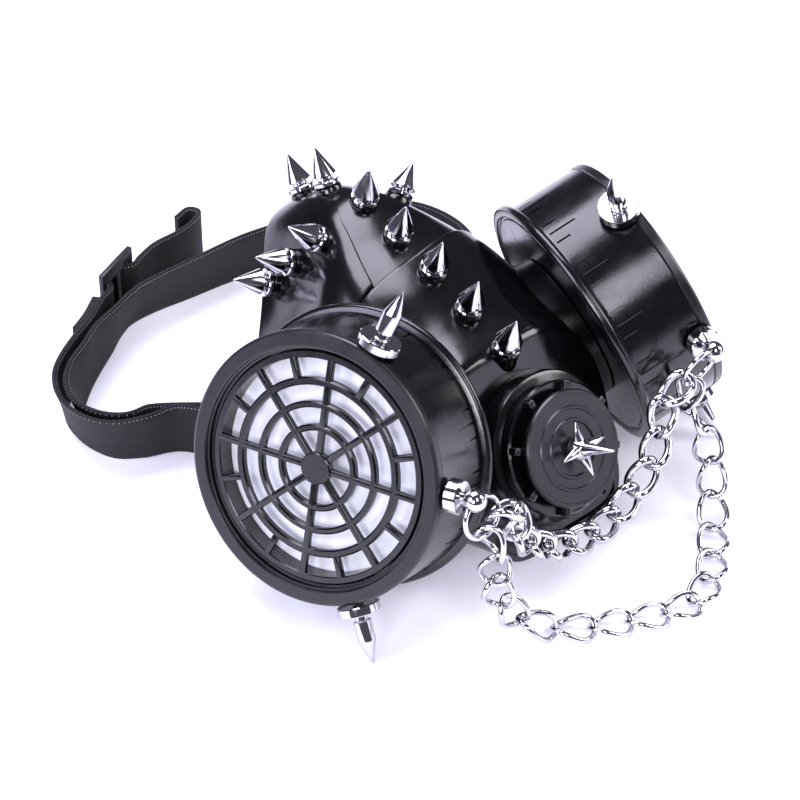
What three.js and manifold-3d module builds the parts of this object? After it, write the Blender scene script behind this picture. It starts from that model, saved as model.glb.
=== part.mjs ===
// Gas mask style costume mask: a soft hollow nose-and-mouth piece with two side canisters, a front valve,
// chrome spikes and chains, and an elastic head strap. It lies on a floor, pitched up, on its two lower
// spikes, its chin and the lower edge of the strap.
// Millimetres. +X is the wearer's left, +Y runs back towards the face and strap, +Z is up.
import * as THREE from 'three';
import { mergeVertices } from 'three/addons/utils/BufferGeometryUtils.js';
import Module from 'manifold-3d';

const wasm = await Module();
wasm.setup();

// Running clearance between two pieces that are built one on the other
const seatGap = 0.3;
// What a cutter runs past the solid that it cuts
const cutRun = 2;

// Facepiece: its overall size, wall and planes
const faceLength = 112;
const faceHeight = 81;
const faceHalfWidth = 43;
const faceFront = -48;
const faceWall = 2.2;
const frontLift = 1.5;
const tongueLift = 1;
// Places on the facepiece as shares of its length behind the front, and of its height
const lengthAt = (share) => faceFront + share * faceLength;
const heightAt = (share) => share * faceHeight;
const frontFaceFoot = { y: lengthAt(0.0143), z: heightAt(0.0617) };
const frontFaceCrease = { y: lengthAt(0.2857), z: heightAt(0.7407) };
const sealFoot = { y: lengthAt(0.7411), z: heightAt(0.0185) };
const sealTop = { y: lengthAt(1.1607), z: heightAt(0.8395) };
const facePoints = 24;
const faceStep = 11;

// Sections of the facepiece from front to back, as shares: y of the length behind the front, ridge, bottom
// and heights of the height, and widths of the half width. Shoulder, middle, side and low are the outline.
const faceSections = [
  { y: -0.1, ridge: 0.59, shoulder: [0.4, 0.565], middle: [0.52, 0.48], side: [0.56, 0.33], low: [0.48, 0.18], bottom: 0.15 },
  { y: 0.1, ridge: 0.68, shoulder: [0.46, 0.66], middle: [0.64, 0.56], side: [0.66, 0.37], low: [0.55, 0.13], bottom: 0.1 },
  { y: 0.286, ridge: 0.757, shoulder: [0.51, 0.735], middle: [0.73, 0.61], side: [0.78, 0.4], low: [0.64, 0.1], bottom: 0.05 },
  { y: 0.454, ridge: 0.838, shoulder: [0.53, 0.8], middle: [0.79, 0.665], side: [0.87, 0.43], low: [0.72, 0.09], bottom: 0.03 },
  { y: 0.595, ridge: 0.92, shoulder: [0.5, 0.88], middle: [0.8, 0.72], side: [0.91, 0.44], low: [0.78, 0.09], bottom: 0.022 },
  { y: 0.737, ridge: 0.984, shoulder: [0.43, 0.945], middle: [0.72, 0.78], side: [0.93, 0.43], low: [0.85, 0.1], bottom: 0.012 },
  { y: 0.868, ridge: 1.045, shoulder: [0.31, 0.995], middle: [0.55, 0.8], side: [0.95, 0.4], low: [0.95, 0.12], bottom: 0 },
  { y: 1, ridge: 1.027, shoulder: [0.29, 0.955], middle: [0.51, 0.715], side: [0.92, 0.34], low: [0.9, 0.1], bottom: 0 },
  { y: 1.106, ridge: 0.938, shoulder: [0.28, 0.88], middle: [0.49, 0.68], side: [0.86, 0.35], low: [0.8, 0.1], bottom: 0 },
  { y: 1.25, ridge: 0.76, shoulder: [0.26, 0.71], middle: [0.44, 0.57], side: [0.78, 0.3], low: [0.7, 0.1], bottom: 0 },
];

// Raised front: where its rear edge runs, on the ridge and beside it
const frontEdgeRidge = lengthAt(0.6563);
const frontEdgeSide = lengthAt(0.6964);
// Raised tongue on the ridge behind it, as shares of the length and of the half width
const tongueOutline = [
  { y: 0.616, half: 0.4535 },
  { y: 0.7232, half: 0.3605 },
  { y: 0.7946, half: 0.2907 },
  { y: 0.8571, half: 0.2326 },
  { y: 0.9107, half: 0.1512 },
  { y: 0.9375, half: 0 },
];

// Small black posts under the tree spikes, and the spikes themselves
const postRadius = 4.5;
const postHeight = 4.2;
const postRoot = 3.5;
const treeFlangeRadius = 4.5;
const treeFlangeHeight = 1.9;
const treeWaistRadius = 2.6;
const treeConeRadius = 4.3;
const treeConeBase = 3.6;
const treeHeight = 12.8;
const treeSides = 8;
// Post tops on the ridge as shares of the length and the height, with the forward lean in degrees
const ridgeSpikes = [
  { y: 0.2946, z: 0.7901, lean: 18 },
  { y: 0.4411, z: 0.863, lean: 18 },
  { y: 0.5821, z: 0.942, lean: 18 },
  { y: 0.725, z: 1, lean: 16 },
  { y: 0.8625, z: 1.0642, lean: 10 },
  { y: 1.0188, z: 1.0284, lean: -27 },
  { y: 1.125, z: 0.9296, lean: -34 },
];
// Post tops on both sides of the nose bridge as shares of the half width, length and height, and how far out
// and back the spikes lean
const sideSpikes = [
  { x: 0.3953, y: 0.8839, z: 0.963, out: 0.75, back: 0.28, up: 0.6 },
  { x: 0.4884, y: 0.9688, z: 0.8185, out: 0.86, back: 0.3, up: 0.41 },
  { x: 0.5581, y: 1.033, z: 0.6914, out: 0.88, back: 0.32, up: 0.35 },
];

// Canisters: place of the back disc's centre and the way they face
const canisterBeside = 1.5;
const canisterOut = faceHalfWidth + canisterBeside;
const canisterUp = heightAt(0.5148);
const canisterForward = 15.6;
const canisterRise = 20.5;
const lipRadius = 44;
const lipThickness = 3;
const drumRadius = 41.6;
const drumWall = 2.6;
const drumFloor = 3;
const canisterDepth = 31.2;
const bezelRadius = 41.9;
const bezelHeight = 3.4;
const bezelOpening = 35.8;
const sleeveWall = 1.6;
const sleeveDepth = 8.2;
const canisterSides = 24;
const neckRadius = 25;
const neckRootRadius = 28;
const neckBore = 12;
const neckRoot = 17;

// Grille inside the bezel
const hubRadius = 4.9;
const hubRise = 0.6;
const grilleRings = [
  { outer: 13.3, width: 2 },
  { outer: 20.3, width: 2 },
  { outer: 27.5, width: 2.4 },
];
const rimWidth = 2.2;
const spokeCount = 8;
const spokeWidth = 2.1;
const grilleRecess = 2;
const barHeight = 2;
const grilleTurn = 9;
const filterThickness = 2.6;

// Studs on the canister wall: how far behind the front rim, and their angles round the canister
const studSetback = 5.6;
const ringStudTurn = 14.2;
const upperSpikeTurn = 81.6;
const lowerSpikeTurn = -55.8;
const padRadius = 1.8;
const padHeight = 0.9;
const bulletWasherRadius = 6.6;
const bulletWasherHeight = 2.9;
const bulletRadius = 2.8;
const bulletNeck = 2;
const bulletNeckHeight = 2.2;
const bulletReach = 19.9;
const bulletPoint = 7.5;
const ringStudWasherRadius = 5.2;
const ringStudWasherHeight = 4;
const ringStudNeck = 1.9;
const ballRadius = 3.4;
const ballReach = 9.4;

// Jump rings through the balls
const jumpRadius = 6.6;
const jumpWire = 1.6;
const jumpSides = 16;
const jumpHoleGap = 0.35;
const leftRingLean = new THREE.Vector3(-0.8, 0.15, -0.56).normalize();
const rightRingLean = new THREE.Vector3(0.245, -0.19, -0.954).normalize();
const hookGap = 0.5;

// Chains
const wireSides = 5;
const linkSteps = 10;
const contactShare = 0.85;
const shortChain = { pitch: 9.8, wire: 2.6, halfWidth: 3.9, twist: 1.6 };
const longChain = { pitch: 11.7, wire: 1.85, halfWidth: 4.5, twist: 1.6 };
// Routes between the two jump rings: place, then the way the flat of the link faces
const shortRoute = [
  [-36, -56.5, 36.5, -0.3, -0.6, 0.7],
  [-28, -57, 28.5, -0.2, -0.6, 0.8],
  [-18, -57.5, 21.5, -0.3, -0.7, 0.7],
  [-6, -58, 18.5, -0.3, -0.75, 0.65],
  [6, -58, 19.5, -0.4, -0.7, 0.6],
  [16, -57.5, 25.5, -0.5, -0.65, 0.6],
  [25, -57, 34.5, -0.55, -0.6, 0.55],
];
const longRoute = [
  [-49.7, -58.8, 35, -0.5, -0.7, 0.3],
  [-46.5, -59.8, 23.5, -0.5, -0.7, 0.3],
  [-42, -61, 11.5, -0.4, -0.6, 0.6],
  [-34, -64, 4.3, -0.1, -0.2, 1],
  [-26, -72, 2.7, 0, 0, 1],
  [-15.5, -78.5, 2.7, 0, 0, 1],
  [-3, -85, 2.7, 0, 0, 1],
  [8, -89.5, 2.7, 0, 0, 1],
  [19, -87, 2.7, 0, 0, 1],
  [29, -80, 2.7, 0, 0, 1],
  [38.5, -71.5, 3, 0, -0.1, 1],
  [46, -64.5, 7, -0.3, -0.6, 0.7],
  [48, -60.5, 17, -0.4, -0.9, 0.1],
  [47.5, -58.5, 29, -0.5, -0.9, 0.1],
];
// Where each chain hooks the jump rings, in degrees from the ring's far side, towards the middle
const shortHook = { right: 56, left: 4 };
const longHook = { right: 0, left: -50 };

// Valve on the front face, as a share of the way from its foot to its crease
const valveRise = 0.5329;
const flangeRadius = 24;
const flangeHeight = 7.5;
const cageRadius = 21;
const cageInner = 15.6;
const cageRing = 3.6;
const cageRibs = 8;
const cageRibWidth = 2.4;
const cageHeight = 6.7;
const coverRadius = 18.2;
const coverHeight = 2.2;
const coverStep = 12.6;
const coverDish = 8.8;
const coverDishDepth = 0.8;
const starHub = 3.2;
const starReach = 18.5;
const starArm = 9.3;
const starArmRadius = 2;
const starArmLean = 0.25;
const starTip = 0.5;
const beadRadius = 26.6;
const beadWire = 1.5;
const beadFrom = 112;
const beadTo = 162;
const valveSides = 20;

// Strap, its tabs on the cheeks and its slide
const strapWidth = 22;
const strapThickness = 1.6;
const flapThickness = 3;
const strapSlotRise = 2;
const tabStart = { x: faceHalfWidth - 1.8, y: lengthAt(0.6875) };
const tabEnd = { x: faceHalfWidth + 4, y: lengthAt(0.9732) };
const tabThickness = 3;
const tabHeight = 26;
const tabArm = 1.7;
const tabBar = 3;
const tabSlot = 5;
// How the band turns round each tab's bar, in degrees
const leftBarTurn = { from: 340, to: 70 };
const rightBarTurn = { from: 100, to: 350 };
// Routes of the band's lower edge: x, then y behind the tabs' ends, then how far its upper edge leans to the
// left of the way it runs
const strapInner = [
  [56, 2.5, 0], [66, 5.5, 0], [74, 11.5, 0], [79, 22, 0], [79.5, 35, 0], [75, 47, 0], [64, 56.5, 0], [45, 66, 2],
  [20, 75, 4.5], [-2, 78.2, 6.5], [-17, 80.3, 8], [-27, 80, 8], [-34.3, 76.8, 6.5], [-42, 71.6, 4], [-52, 65.5, 1],
  [-61, 59.3, 0], [-68, 53, -2.5], [-72.2, 46.5, -5], [-74.2, 39.5, -7], [-74, 32.5, -7.5], [-71, 26, -6.5],
  [-64, 21.8, -4],
];
const strapOuter = [
  [-58, 14.4, 2.5], [-68.2, 20.4, 6], [-75, 26.4, 8], [-77.6, 35.5, 8], [-77.3, 44, 6], [-75, 52, 3],
  [-70, 58.8, 0.5], [-61, 64.4, 0], [-51, 69, 0],
];
const strapTail = [
  [-8, 88, 0], [2, 88.2, 0], [12, 90.2, 0], [16.6, 93.6, 0], [14.6, 97, 0], [8, 95.6, 0],
];
// The sewn-back end of the outer band, just before the slide
const strapFlap = [
  [-58, 67.2, 0], [-50.5, 71, 0], [-42.5, 76.4, 0],
];
const slideStart = { x: -38.2, behind: 79 };
const slideTurn = 22;
const slideEdge = 2.4;
const slideSlot = 6.2;
const slideBar = 2.6;
const slideThickness = 2;
const slideHeight = 27;
const slideWeave = 2.2;

// Materials
const finish = {
  vinyl: new THREE.MeshStandardMaterial({ color: 0x15151a, roughness: 0.28, metalness: 0 }),
  canister: new THREE.MeshStandardMaterial({ color: 0x17171c, roughness: 0.35, metalness: 0 }),
  chrome: new THREE.MeshStandardMaterial({ color: 0xd8d8da, roughness: 0.12, metalness: 1 }),
  filter: new THREE.MeshStandardMaterial({ color: 0xe9ebf0, roughness: 0.9, metalness: 0 }),
  strap: new THREE.MeshStandardMaterial({ color: 0x121214, roughness: 0.85, metalness: 0 }),
  slide: new THREE.MeshStandardMaterial({ color: 0x141417, roughness: 0.5, metalness: 0 }),
};

const root = new THREE.Group();
const xAxis = new THREE.Vector3(1, 0, 0);
const yAxis = new THREE.Vector3(0, 1, 0);
const zAxis = new THREE.Vector3(0, 0, 1);

const radians = (degrees) => THREE.MathUtils.degToRad(degrees);
const vector = (x, y, z) => new THREE.Vector3(x, y, z);

// A closed three.js geometry as a solid with its faces pointing out
function solid(geometry, matrix) {
  const plain = geometry.clone();
  for (const name of Object.keys(plain.attributes)) {
    if (name !== 'position') plain.deleteAttribute(name);
  }
  if (matrix) plain.applyMatrix4(matrix);
  const merged = mergeVertices(plain, 1e-4);
  const points = merged.attributes.position.array;
  const index = merged.index.array;
  const kept = [];
  for (let i = 0; i < index.length; i += 3) {
    const [a, b, c] = [index[i], index[i + 1], index[i + 2]];
    if (a !== b && b !== c && c !== a) kept.push(a, b, c);
  }
  if (signedVolume(points, kept) < 0) kept.reverse();
  return new wasm.Manifold(new wasm.Mesh({
    numProp: 3,
    vertProperties: Float32Array.from(points),
    triVerts: Uint32Array.from(kept),
  }));
}

function signedVolume(points, index) {
  const [a, b, c] = [new THREE.Vector3(), new THREE.Vector3(), new THREE.Vector3()];
  let volume = 0;
  for (let i = 0; i < index.length; i += 3) {
    a.fromArray(points, 3 * index[i]);
    b.fromArray(points, 3 * index[i + 1]);
    c.fromArray(points, 3 * index[i + 2]);
    volume += a.dot(b.cross(c)) / 6;
  }
  return volume;
}

function joined(solids) {
  return solids.reduce((whole, next) => whole.add(next));
}

// The same body with the pockets filled that are shut in where its pieces touch
function withoutPockets(shape) {
  return joined(shape.decompose().filter((shell) => shell.volume() > 0));
}

function addPart(name, shape, material, parent = root) {
  const mesh = shape.getMesh();
  const geometry = new THREE.BufferGeometry();
  geometry.setAttribute('position', new THREE.BufferAttribute(Float32Array.from(mesh.vertProperties), 3));
  geometry.setIndex(new THREE.BufferAttribute(Uint32Array.from(mesh.triVerts), 1));
  geometry.computeVertexNormals();
  const part = new THREE.Mesh(geometry, material);
  part.name = name;
  parent.add(part);
  return part;
}

// A turned body about +Z from (radius, height) pairs. A profile off the axis closes on itself.
function turned(profile, sides) {
  const points = profile.map(([radius, height]) => new THREE.Vector2(radius, height));
  const onAxis = profile[0][0] === 0;
  if (!onAxis) points.push(points[0].clone());
  return new THREE.LatheGeometry(points, sides).rotateX(Math.PI / 2);
}

// An upright prism on a flat outline of [x, y] pairs
function prism(outline, bottom, top) {
  const shape = new THREE.Shape(outline.map(([x, y]) => new THREE.Vector2(x, y)));
  return new THREE.ExtrudeGeometry(shape, { depth: top - bottom, bevelEnabled: false }).translate(0, 0, bottom);
}

// The frame whose +Z points along a direction, at a place
function aimed(place, direction, hint = xAxis) {
  const z = direction.clone().normalize();
  const x = hint.clone().addScaledVector(z, -hint.dot(z)).normalize();
  const y = z.clone().cross(x);
  return new THREE.Matrix4().makeBasis(x, y, z).setPosition(place);
}

// Everything on one side of a plane that contains the X direction, as a big block
function halfSpace(from, to, side) {
  const along = vector(0, to.y - from.y, to.z - from.z).normalize();
  const away = along.clone().cross(xAxis).multiplyScalar(side);
  const size = 4 * faceLength;
  const middle = vector(0, from.y, from.z).addScaledVector(away, size / 2);
  return solid(new THREE.BoxGeometry(size, size, size), aimed(middle, away));
}

// One section of the facepiece as a closed outline, moved out or in by an offset
function faceSection(row, offset) {
  const half = (pair) => [pair[0] * faceHalfWidth, pair[1] * faceHeight];
  const right = [half(row.shoulder), half(row.middle), half(row.side), half(row.low)];
  const left = right.map(([x, z]) => [-x, z]).reverse();
  const outline = [[0, row.ridge * faceHeight], ...right, [0, row.bottom * faceHeight], ...left];
  const curve = new THREE.CatmullRomCurve3(outline.map(([x, z]) => vector(x, 0, z)), true, 'centripetal');
  const points = curve.getPoints(facePoints).slice(0, -1);
  return points.map((point, i) => {
    const before = points[(i + points.length - 1) % points.length];
    const after = points[(i + 1) % points.length];
    const along = after.clone().sub(before).normalize();
    return point.clone().add(vector(-along.z, 0, along.x).multiplyScalar(offset));
  });
}

// The facepiece as a closed loft through its sections
function faceLoft(offset) {
  const rows = faceSections.map((row) => ({
    y: faceFront + row.y * faceLength,
    points: faceSection(row, offset),
  }));
  const rails = rows[0].points.map((_, i) => new THREE.CatmullRomCurve3(
    rows.map((row) => vector(row.points[i].x, row.y, row.points[i].z)), false, 'centripetal'));
  const stations = Math.ceil((rows.at(-1).y - rows[0].y) / faceStep);
  const positions = [];
  const rings = [];
  for (let s = 0; s <= stations; s += 1) {
    rings.push(rails.map((rail) => {
      positions.push(...rail.getPoint(s / stations).toArray());
      return positions.length / 3 - 1;
    }));
  }
  const index = [];
  for (let s = 0; s < stations; s += 1) {
    for (let i = 0; i < rails.length; i += 1) {
      const j = (i + 1) % rails.length;
      index.push(rings[s][i], rings[s][j], rings[s + 1][i]);
      index.push(rings[s][j], rings[s + 1][j], rings[s + 1][i]);
    }
  }
  for (const [ring, flip] of [[rings[0], false], [rings.at(-1), true]]) {
    const centre = ring.reduce((sum, i) => sum.add(vector(...positions.slice(3 * i, 3 * i + 3))), vector(0, 0, 0));
    positions.push(...centre.divideScalar(ring.length).toArray());
    const hub = positions.length / 3 - 1;
    ring.forEach((i, k) => {
      const j = ring[(k + 1) % ring.length];
      index.push(...(flip ? [i, j, hub] : [j, i, hub]));
    });
  }
  const geometry = new THREE.BufferGeometry();
  geometry.setAttribute('position', new THREE.BufferAttribute(new Float32Array(positions), 3));
  geometry.setIndex(index);
  return solid(geometry);
}

// Frames of the valve and canisters, which the facepiece follows too
const frontAlong = vector(0, frontFaceCrease.y - frontFaceFoot.y, frontFaceCrease.z - frontFaceFoot.z).normalize();
const valveAxis = frontAlong.clone().cross(xAxis).negate();
const valvePlace = vector(0, frontFaceFoot.y, frontFaceFoot.z)
  .lerp(vector(0, frontFaceCrease.y, frontFaceCrease.z), valveRise);

function canisterFrame(side) {
  const axis = vector(
    side * Math.cos(radians(canisterRise)) * Math.cos(radians(canisterForward)),
    -Math.cos(radians(canisterRise)) * Math.sin(radians(canisterForward)),
    Math.sin(radians(canisterRise)),
  );
  return aimed(vector(side * canisterOut, 0, canisterUp), axis, yAxis.clone().negate());
}

// The frame of a stud on the canister wall, with +Z pointing away from the canister's axis
function studFrame(side, turn) {
  const angle = radians(-side * turn);
  const out = vector(Math.cos(angle), Math.sin(angle), 0);
  const foot = out.clone().multiplyScalar(drumRadius).setZ(canisterDepth - studSetback);
  return canisterFrame(side).multiply(aimed(foot, out, zAxis));
}

const treeSpikes = [
  ...ridgeSpikes.map((row, i) => ({
    name: `ridge_spike_${i + 1}`,
    place: vector(0, lengthAt(row.y), heightAt(row.z)),
    axis: vector(0, -Math.sin(radians(row.lean)), Math.cos(radians(row.lean))),
  })),
  ...[1, -1].flatMap((side) => sideSpikes.map((row, i) => ({
    name: `${side > 0 ? 'left' : 'right'}_side_spike_${i + 1}`,
    place: vector(side * row.x * faceHalfWidth, lengthAt(row.y), heightAt(row.z)),
    axis: vector(side * row.out, row.back, row.up).normalize(),
  }))),
];

// The raised bead beside the valve, bent along an arc on the front face
function valveBead() {
  const arc = new THREE.CatmullRomCurve3(Array.from({ length: 5 }, (_, i) => {
    const angle = radians(beadFrom + (beadTo - beadFrom) * i / 4);
    return vector(beadRadius * Math.cos(angle), beadRadius * Math.sin(angle), 0);
  }));
  const section = new THREE.Shape().absarc(0, 0, beadWire, 0, 2 * Math.PI);
  const geometry = new THREE.ExtrudeGeometry(section, { extrudePath: arc, steps: 8, curveSegments: 4, bevelEnabled: false });
  return solid(geometry, aimed(valvePlace, valveAxis));
}

// A slotted tab on the outside of each cheek, for the strap
function strapTab(side) {
  const along = vector(tabEnd.x - tabStart.x, tabEnd.y - tabStart.y, 0);
  const length = along.length();
  const turn = Math.atan2(along.y, along.x);
  const place = new THREE.Matrix4().makeRotationZ(turn).setPosition(tabStart.x, tabStart.y, 0);
  const plate = new THREE.BoxGeometry(length, tabThickness, tabHeight).translate(length / 2, 0, tabHeight / 2);
  const slotHeight = tabHeight - 2 * tabArm;
  const slot = new THREE.BoxGeometry(tabSlot, tabThickness + cutRun, slotHeight)
    .translate(length - tabBar - tabSlot / 2, 0, tabHeight / 2);
  const mirror = new THREE.Matrix4().makeScale(side, 1, 1);
  return solid(plate, mirror.clone().multiply(place)).subtract(solid(slot, mirror.clone().multiply(place)));
}

function facepiece() {
  const far = 2 * faceLength;
  const frontCutter = solid(prism([
    [-far, -far], [far, -far], [far, frontEdgeSide], [faceHalfWidth, frontEdgeSide], [faceHalfWidth / 2, frontEdgeSide],
    [0, frontEdgeRidge], [-faceHalfWidth / 2, frontEdgeRidge], [-faceHalfWidth, frontEdgeRidge], [-far, frontEdgeRidge],
  ], -far, far));
  const tongueSide = tongueOutline.map((row) => [row.half * faceHalfWidth, lengthAt(row.y)]);
  const tongueBack = tongueSide.slice(0, -1).reverse().map(([x, y]) => [-x, y]);
  const tongueCutter = solid(prism([...tongueSide, ...tongueBack], faceHeight / 2, far));
  const outer = joined([
    faceLoft(0),
    faceLoft(frontLift).intersect(frontCutter),
    faceLoft(tongueLift).intersect(tongueCutter),
  ]);
  const necks = [1, -1].map((side) => solid(
    turned([[0, -neckRoot], [neckRootRadius, -neckRoot], [neckRadius, -seatGap], [0, -seatGap]], canisterSides),
    canisterFrame(side)));
  const bores = [1, -1].map((side) => solid(
    turned([[0, -2 * neckRoot], [neckBore, -2 * neckRoot], [neckBore, cutRun], [0, cutRun]], canisterSides / 2),
    canisterFrame(side)));
  const posts = treeSpikes.map((spike) => solid(
    turned([[0, -postHeight - postRoot], [postRadius, -postHeight - postRoot], [postRadius, 0], [0, 0]], treeSides),
    aimed(spike.place, spike.axis)));
  const innerFront = {
    foot: vector(0, frontFaceFoot.y, frontFaceFoot.z).addScaledVector(valveAxis, -faceWall),
    crease: vector(0, frontFaceCrease.y, frontFaceCrease.z).addScaledVector(valveAxis, -faceWall),
  };
  const hollow = faceLoft(-faceWall).subtract(halfSpace(innerFront.foot, innerFront.crease, -1));
  const body = joined([outer, ...necks, ...posts])
    .subtract(halfSpace(frontFaceFoot, frontFaceCrease, -1))
    .subtract(halfSpace(sealFoot, sealTop, 1))
    .add(valveBead())
    .subtract(hollow)
    .subtract(joined(bores));
  const tabs = [1, -1].map(strapTab).map((tab) => tab.subtract(hollow));
  addPart('facepiece_shell', joined([body, ...tabs]), finish.vinyl);
}

function treeSpikeShapes() {
  const profile = [
    [0, seatGap], [treeFlangeRadius, seatGap], [treeFlangeRadius, treeFlangeHeight],
    [treeWaistRadius, treeFlangeHeight], [treeWaistRadius, 0.8 * treeConeBase],
    [treeConeRadius, treeConeBase], [0, treeHeight],
  ];
  for (const spike of treeSpikes) {
    const part = addPart(spike.name, solid(turned(profile, treeSides)), finish.chrome);
    part.applyMatrix4(aimed(spike.place, spike.axis));
  }
}

// Drum, bezel, grille and filter disc of one canister, in its own frame
function canister(side) {
  const name = side > 0 ? 'left' : 'right';
  const group = new THREE.Group();
  group.applyMatrix4(canisterFrame(side));
  root.add(group);
  const drumTop = canisterDepth - bezelHeight - seatGap;
  const inner = drumRadius - drumWall;
  const drum = solid(turned([
    [0, 0], [lipRadius - 1.5, 0], [lipRadius, 0.35 * lipThickness], [lipRadius, lipThickness],
    [drumRadius, lipThickness + 1.2], [drumRadius, drumTop], [inner, drumTop], [inner, drumFloor], [0, drumFloor],
  ], canisterSides));
  const toCanister = canisterFrame(side).invert();
  const pads = [ringStudTurn, upperSpikeTurn, lowerSpikeTurn].map((turn) => solid(
    turned([[0, -drumWall / 2], [padRadius, -drumWall / 2], [padRadius, padHeight], [0, padHeight]], treeSides),
    toCanister.clone().multiply(studFrame(side, turn))));
  addPart(`${name}_canister_drum`, joined([drum, ...pads]), finish.canister, group);

  const bezelFoot = drumTop + seatGap;
  const sleeveFoot = canisterDepth - sleeveDepth;
  addPart(`${name}_canister_bezel`, solid(turned([
    [bezelOpening, sleeveFoot], [bezelOpening + sleeveWall, sleeveFoot], [bezelOpening + sleeveWall, bezelFoot],
    [bezelRadius, bezelFoot], [bezelRadius, canisterDepth - 1.1], [bezelRadius - 1.3, canisterDepth],
    [bezelOpening + 1, canisterDepth], [bezelOpening, canisterDepth - 0.9],
  ], canisterSides)), finish.canister, group);

  const filterTop = sleeveFoot - seatGap;
  addPart(`${name}_filter_disc`, solid(turned([
    [0, filterTop - filterThickness], [inner - seatGap, filterTop - filterThickness],
    [inner - seatGap, filterTop], [0, filterTop],
  ], canisterSides)), finish.filter, group);

  const barTop = canisterDepth - grilleRecess;
  const barFoot = barTop - barHeight;
  const rimOuter = bezelOpening - seatGap;
  const rimInner = rimOuter - rimWidth;
  const ring = (outer, width, foot) => solid(turned([
    [outer - width, foot], [outer, foot], [outer, barTop], [outer - width, barTop],
  ], canisterSides - 4));
  const lastRing = grilleRings.at(-1);
  const pieces = [
    ring(rimOuter, rimWidth, filterTop + seatGap),
    ...grilleRings.map((row) => ring(row.outer, row.width, barFoot)),
    solid(turned([[0, barFoot], [hubRadius, barFoot], [hubRadius, barTop + hubRise], [0, barTop + hubRise]],
      2 * spokeCount)),
  ];
  const spoke = (from, to, angle) => solid(
    new THREE.BoxGeometry(to - from, spokeWidth, barHeight).translate((from + to) / 2, 0, barFoot + barHeight / 2),
    new THREE.Matrix4().makeRotationZ(angle));
  for (let i = 0; i < spokeCount; i += 1) {
    const angle = radians(grilleTurn) + 2 * Math.PI * i / spokeCount;
    pieces.push(spoke(hubRadius / 2, rimInner + rimWidth / 2, angle));
    pieces.push(spoke(lastRing.outer - lastRing.width / 2, rimInner + rimWidth / 2, angle + Math.PI / spokeCount));
  }
  addPart(`${name}_grille`, joined(pieces), finish.canister, group);
}

function bulletSpike(name, side, turn) {
  const foot = padHeight + seatGap;
  const washerTop = foot + bulletWasherHeight;
  const part = addPart(name, solid(turned([
    [0, foot], [bulletWasherRadius, foot], [bulletWasherRadius, washerTop], [bulletNeck, washerTop],
    [bulletNeck, washerTop + bulletNeckHeight], [bulletRadius, washerTop + bulletNeckHeight],
    [bulletRadius, bulletReach - bulletPoint], [0, bulletReach],
  ], treeSides)), finish.chrome);
  part.applyMatrix4(studFrame(side, turn));
}

// The jump ring of one side: the ball's centre lies on the ring's wire
function jumpRing(side) {
  const lean = side > 0 ? leftRingLean : rightRingLean;
  const across = xAxis.clone().addScaledVector(lean, -lean.x).normalize();
  const ball = vector(0, 0, ballReach).applyMatrix4(studFrame(side, ringStudTurn));
  const centre = ball.clone().addScaledVector(lean, jumpRadius);
  const frame = new THREE.Matrix4().makeBasis(lean, across, lean.clone().cross(across)).setPosition(centre);
  return { lean, across, centre, frame };
}

function ringStud(side) {
  const name = side > 0 ? 'left' : 'right';
  const ring = jumpRing(side);
  const foot = padHeight + seatGap;
  const washerTop = foot + ringStudWasherHeight;
  const frame = studFrame(side, ringStudTurn);
  const stem = solid(turned([
    [0, foot], [ringStudWasherRadius, foot], [ringStudWasherRadius, washerTop], [ringStudNeck, washerTop],
    [ringStudNeck, ballReach], [0, ballReach],
  ], treeSides), frame);
  const ball = solid(new THREE.SphereGeometry(ballRadius, 10, 6).translate(0, 0, ballReach), frame);
  const channel = new THREE.TorusGeometry(jumpRadius, jumpWire / 2 + jumpHoleGap, wireSides + 1, jumpSides);
  addPart(`${name}_ring_stud`, stem.add(ball).subtract(solid(channel, ring.frame)), finish.chrome);
  const hoop = new THREE.TorusGeometry(jumpRadius, jumpWire / 2, wireSides + 1, jumpSides);
  addPart(`${name}_jump_ring`, solid(hoop), finish.chrome).applyMatrix4(ring.frame);
}

// A curb link: an oval whose wire also swings out of its plane, so that like links pass through each other
class LinkCurve extends THREE.Curve {
  constructor(halfLength, halfWidth, twist) {
    super();
    Object.assign(this, { halfLength, halfWidth, twist });
  }

  getPoint(t) {
    const angle = 2 * Math.PI * t;
    return vector(
      this.halfLength * Math.cos(angle),
      this.halfWidth * Math.sin(angle),
      this.twist * Math.sin(2 * angle),
    );
  }
}

// Where a chain's end joint lies on a jump ring, and the way the ring's wire runs there
function hookPoint(side, degrees, wire) {
  const ring = jumpRing(side);
  const angle = -side * radians(degrees);
  const radial = ring.lean.clone().multiplyScalar(Math.cos(angle)).addScaledVector(ring.across, Math.sin(angle));
  const inset = (wire + jumpWire) / 2 + hookGap - contactShare * wire / 2;
  return {
    radial,
    place: ring.centre.clone().addScaledVector(radial, jumpRadius - inset),
    facing: ring.lean.clone().multiplyScalar(-Math.sin(angle)).addScaledVector(ring.across, Math.cos(angle)),
  };
}

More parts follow.
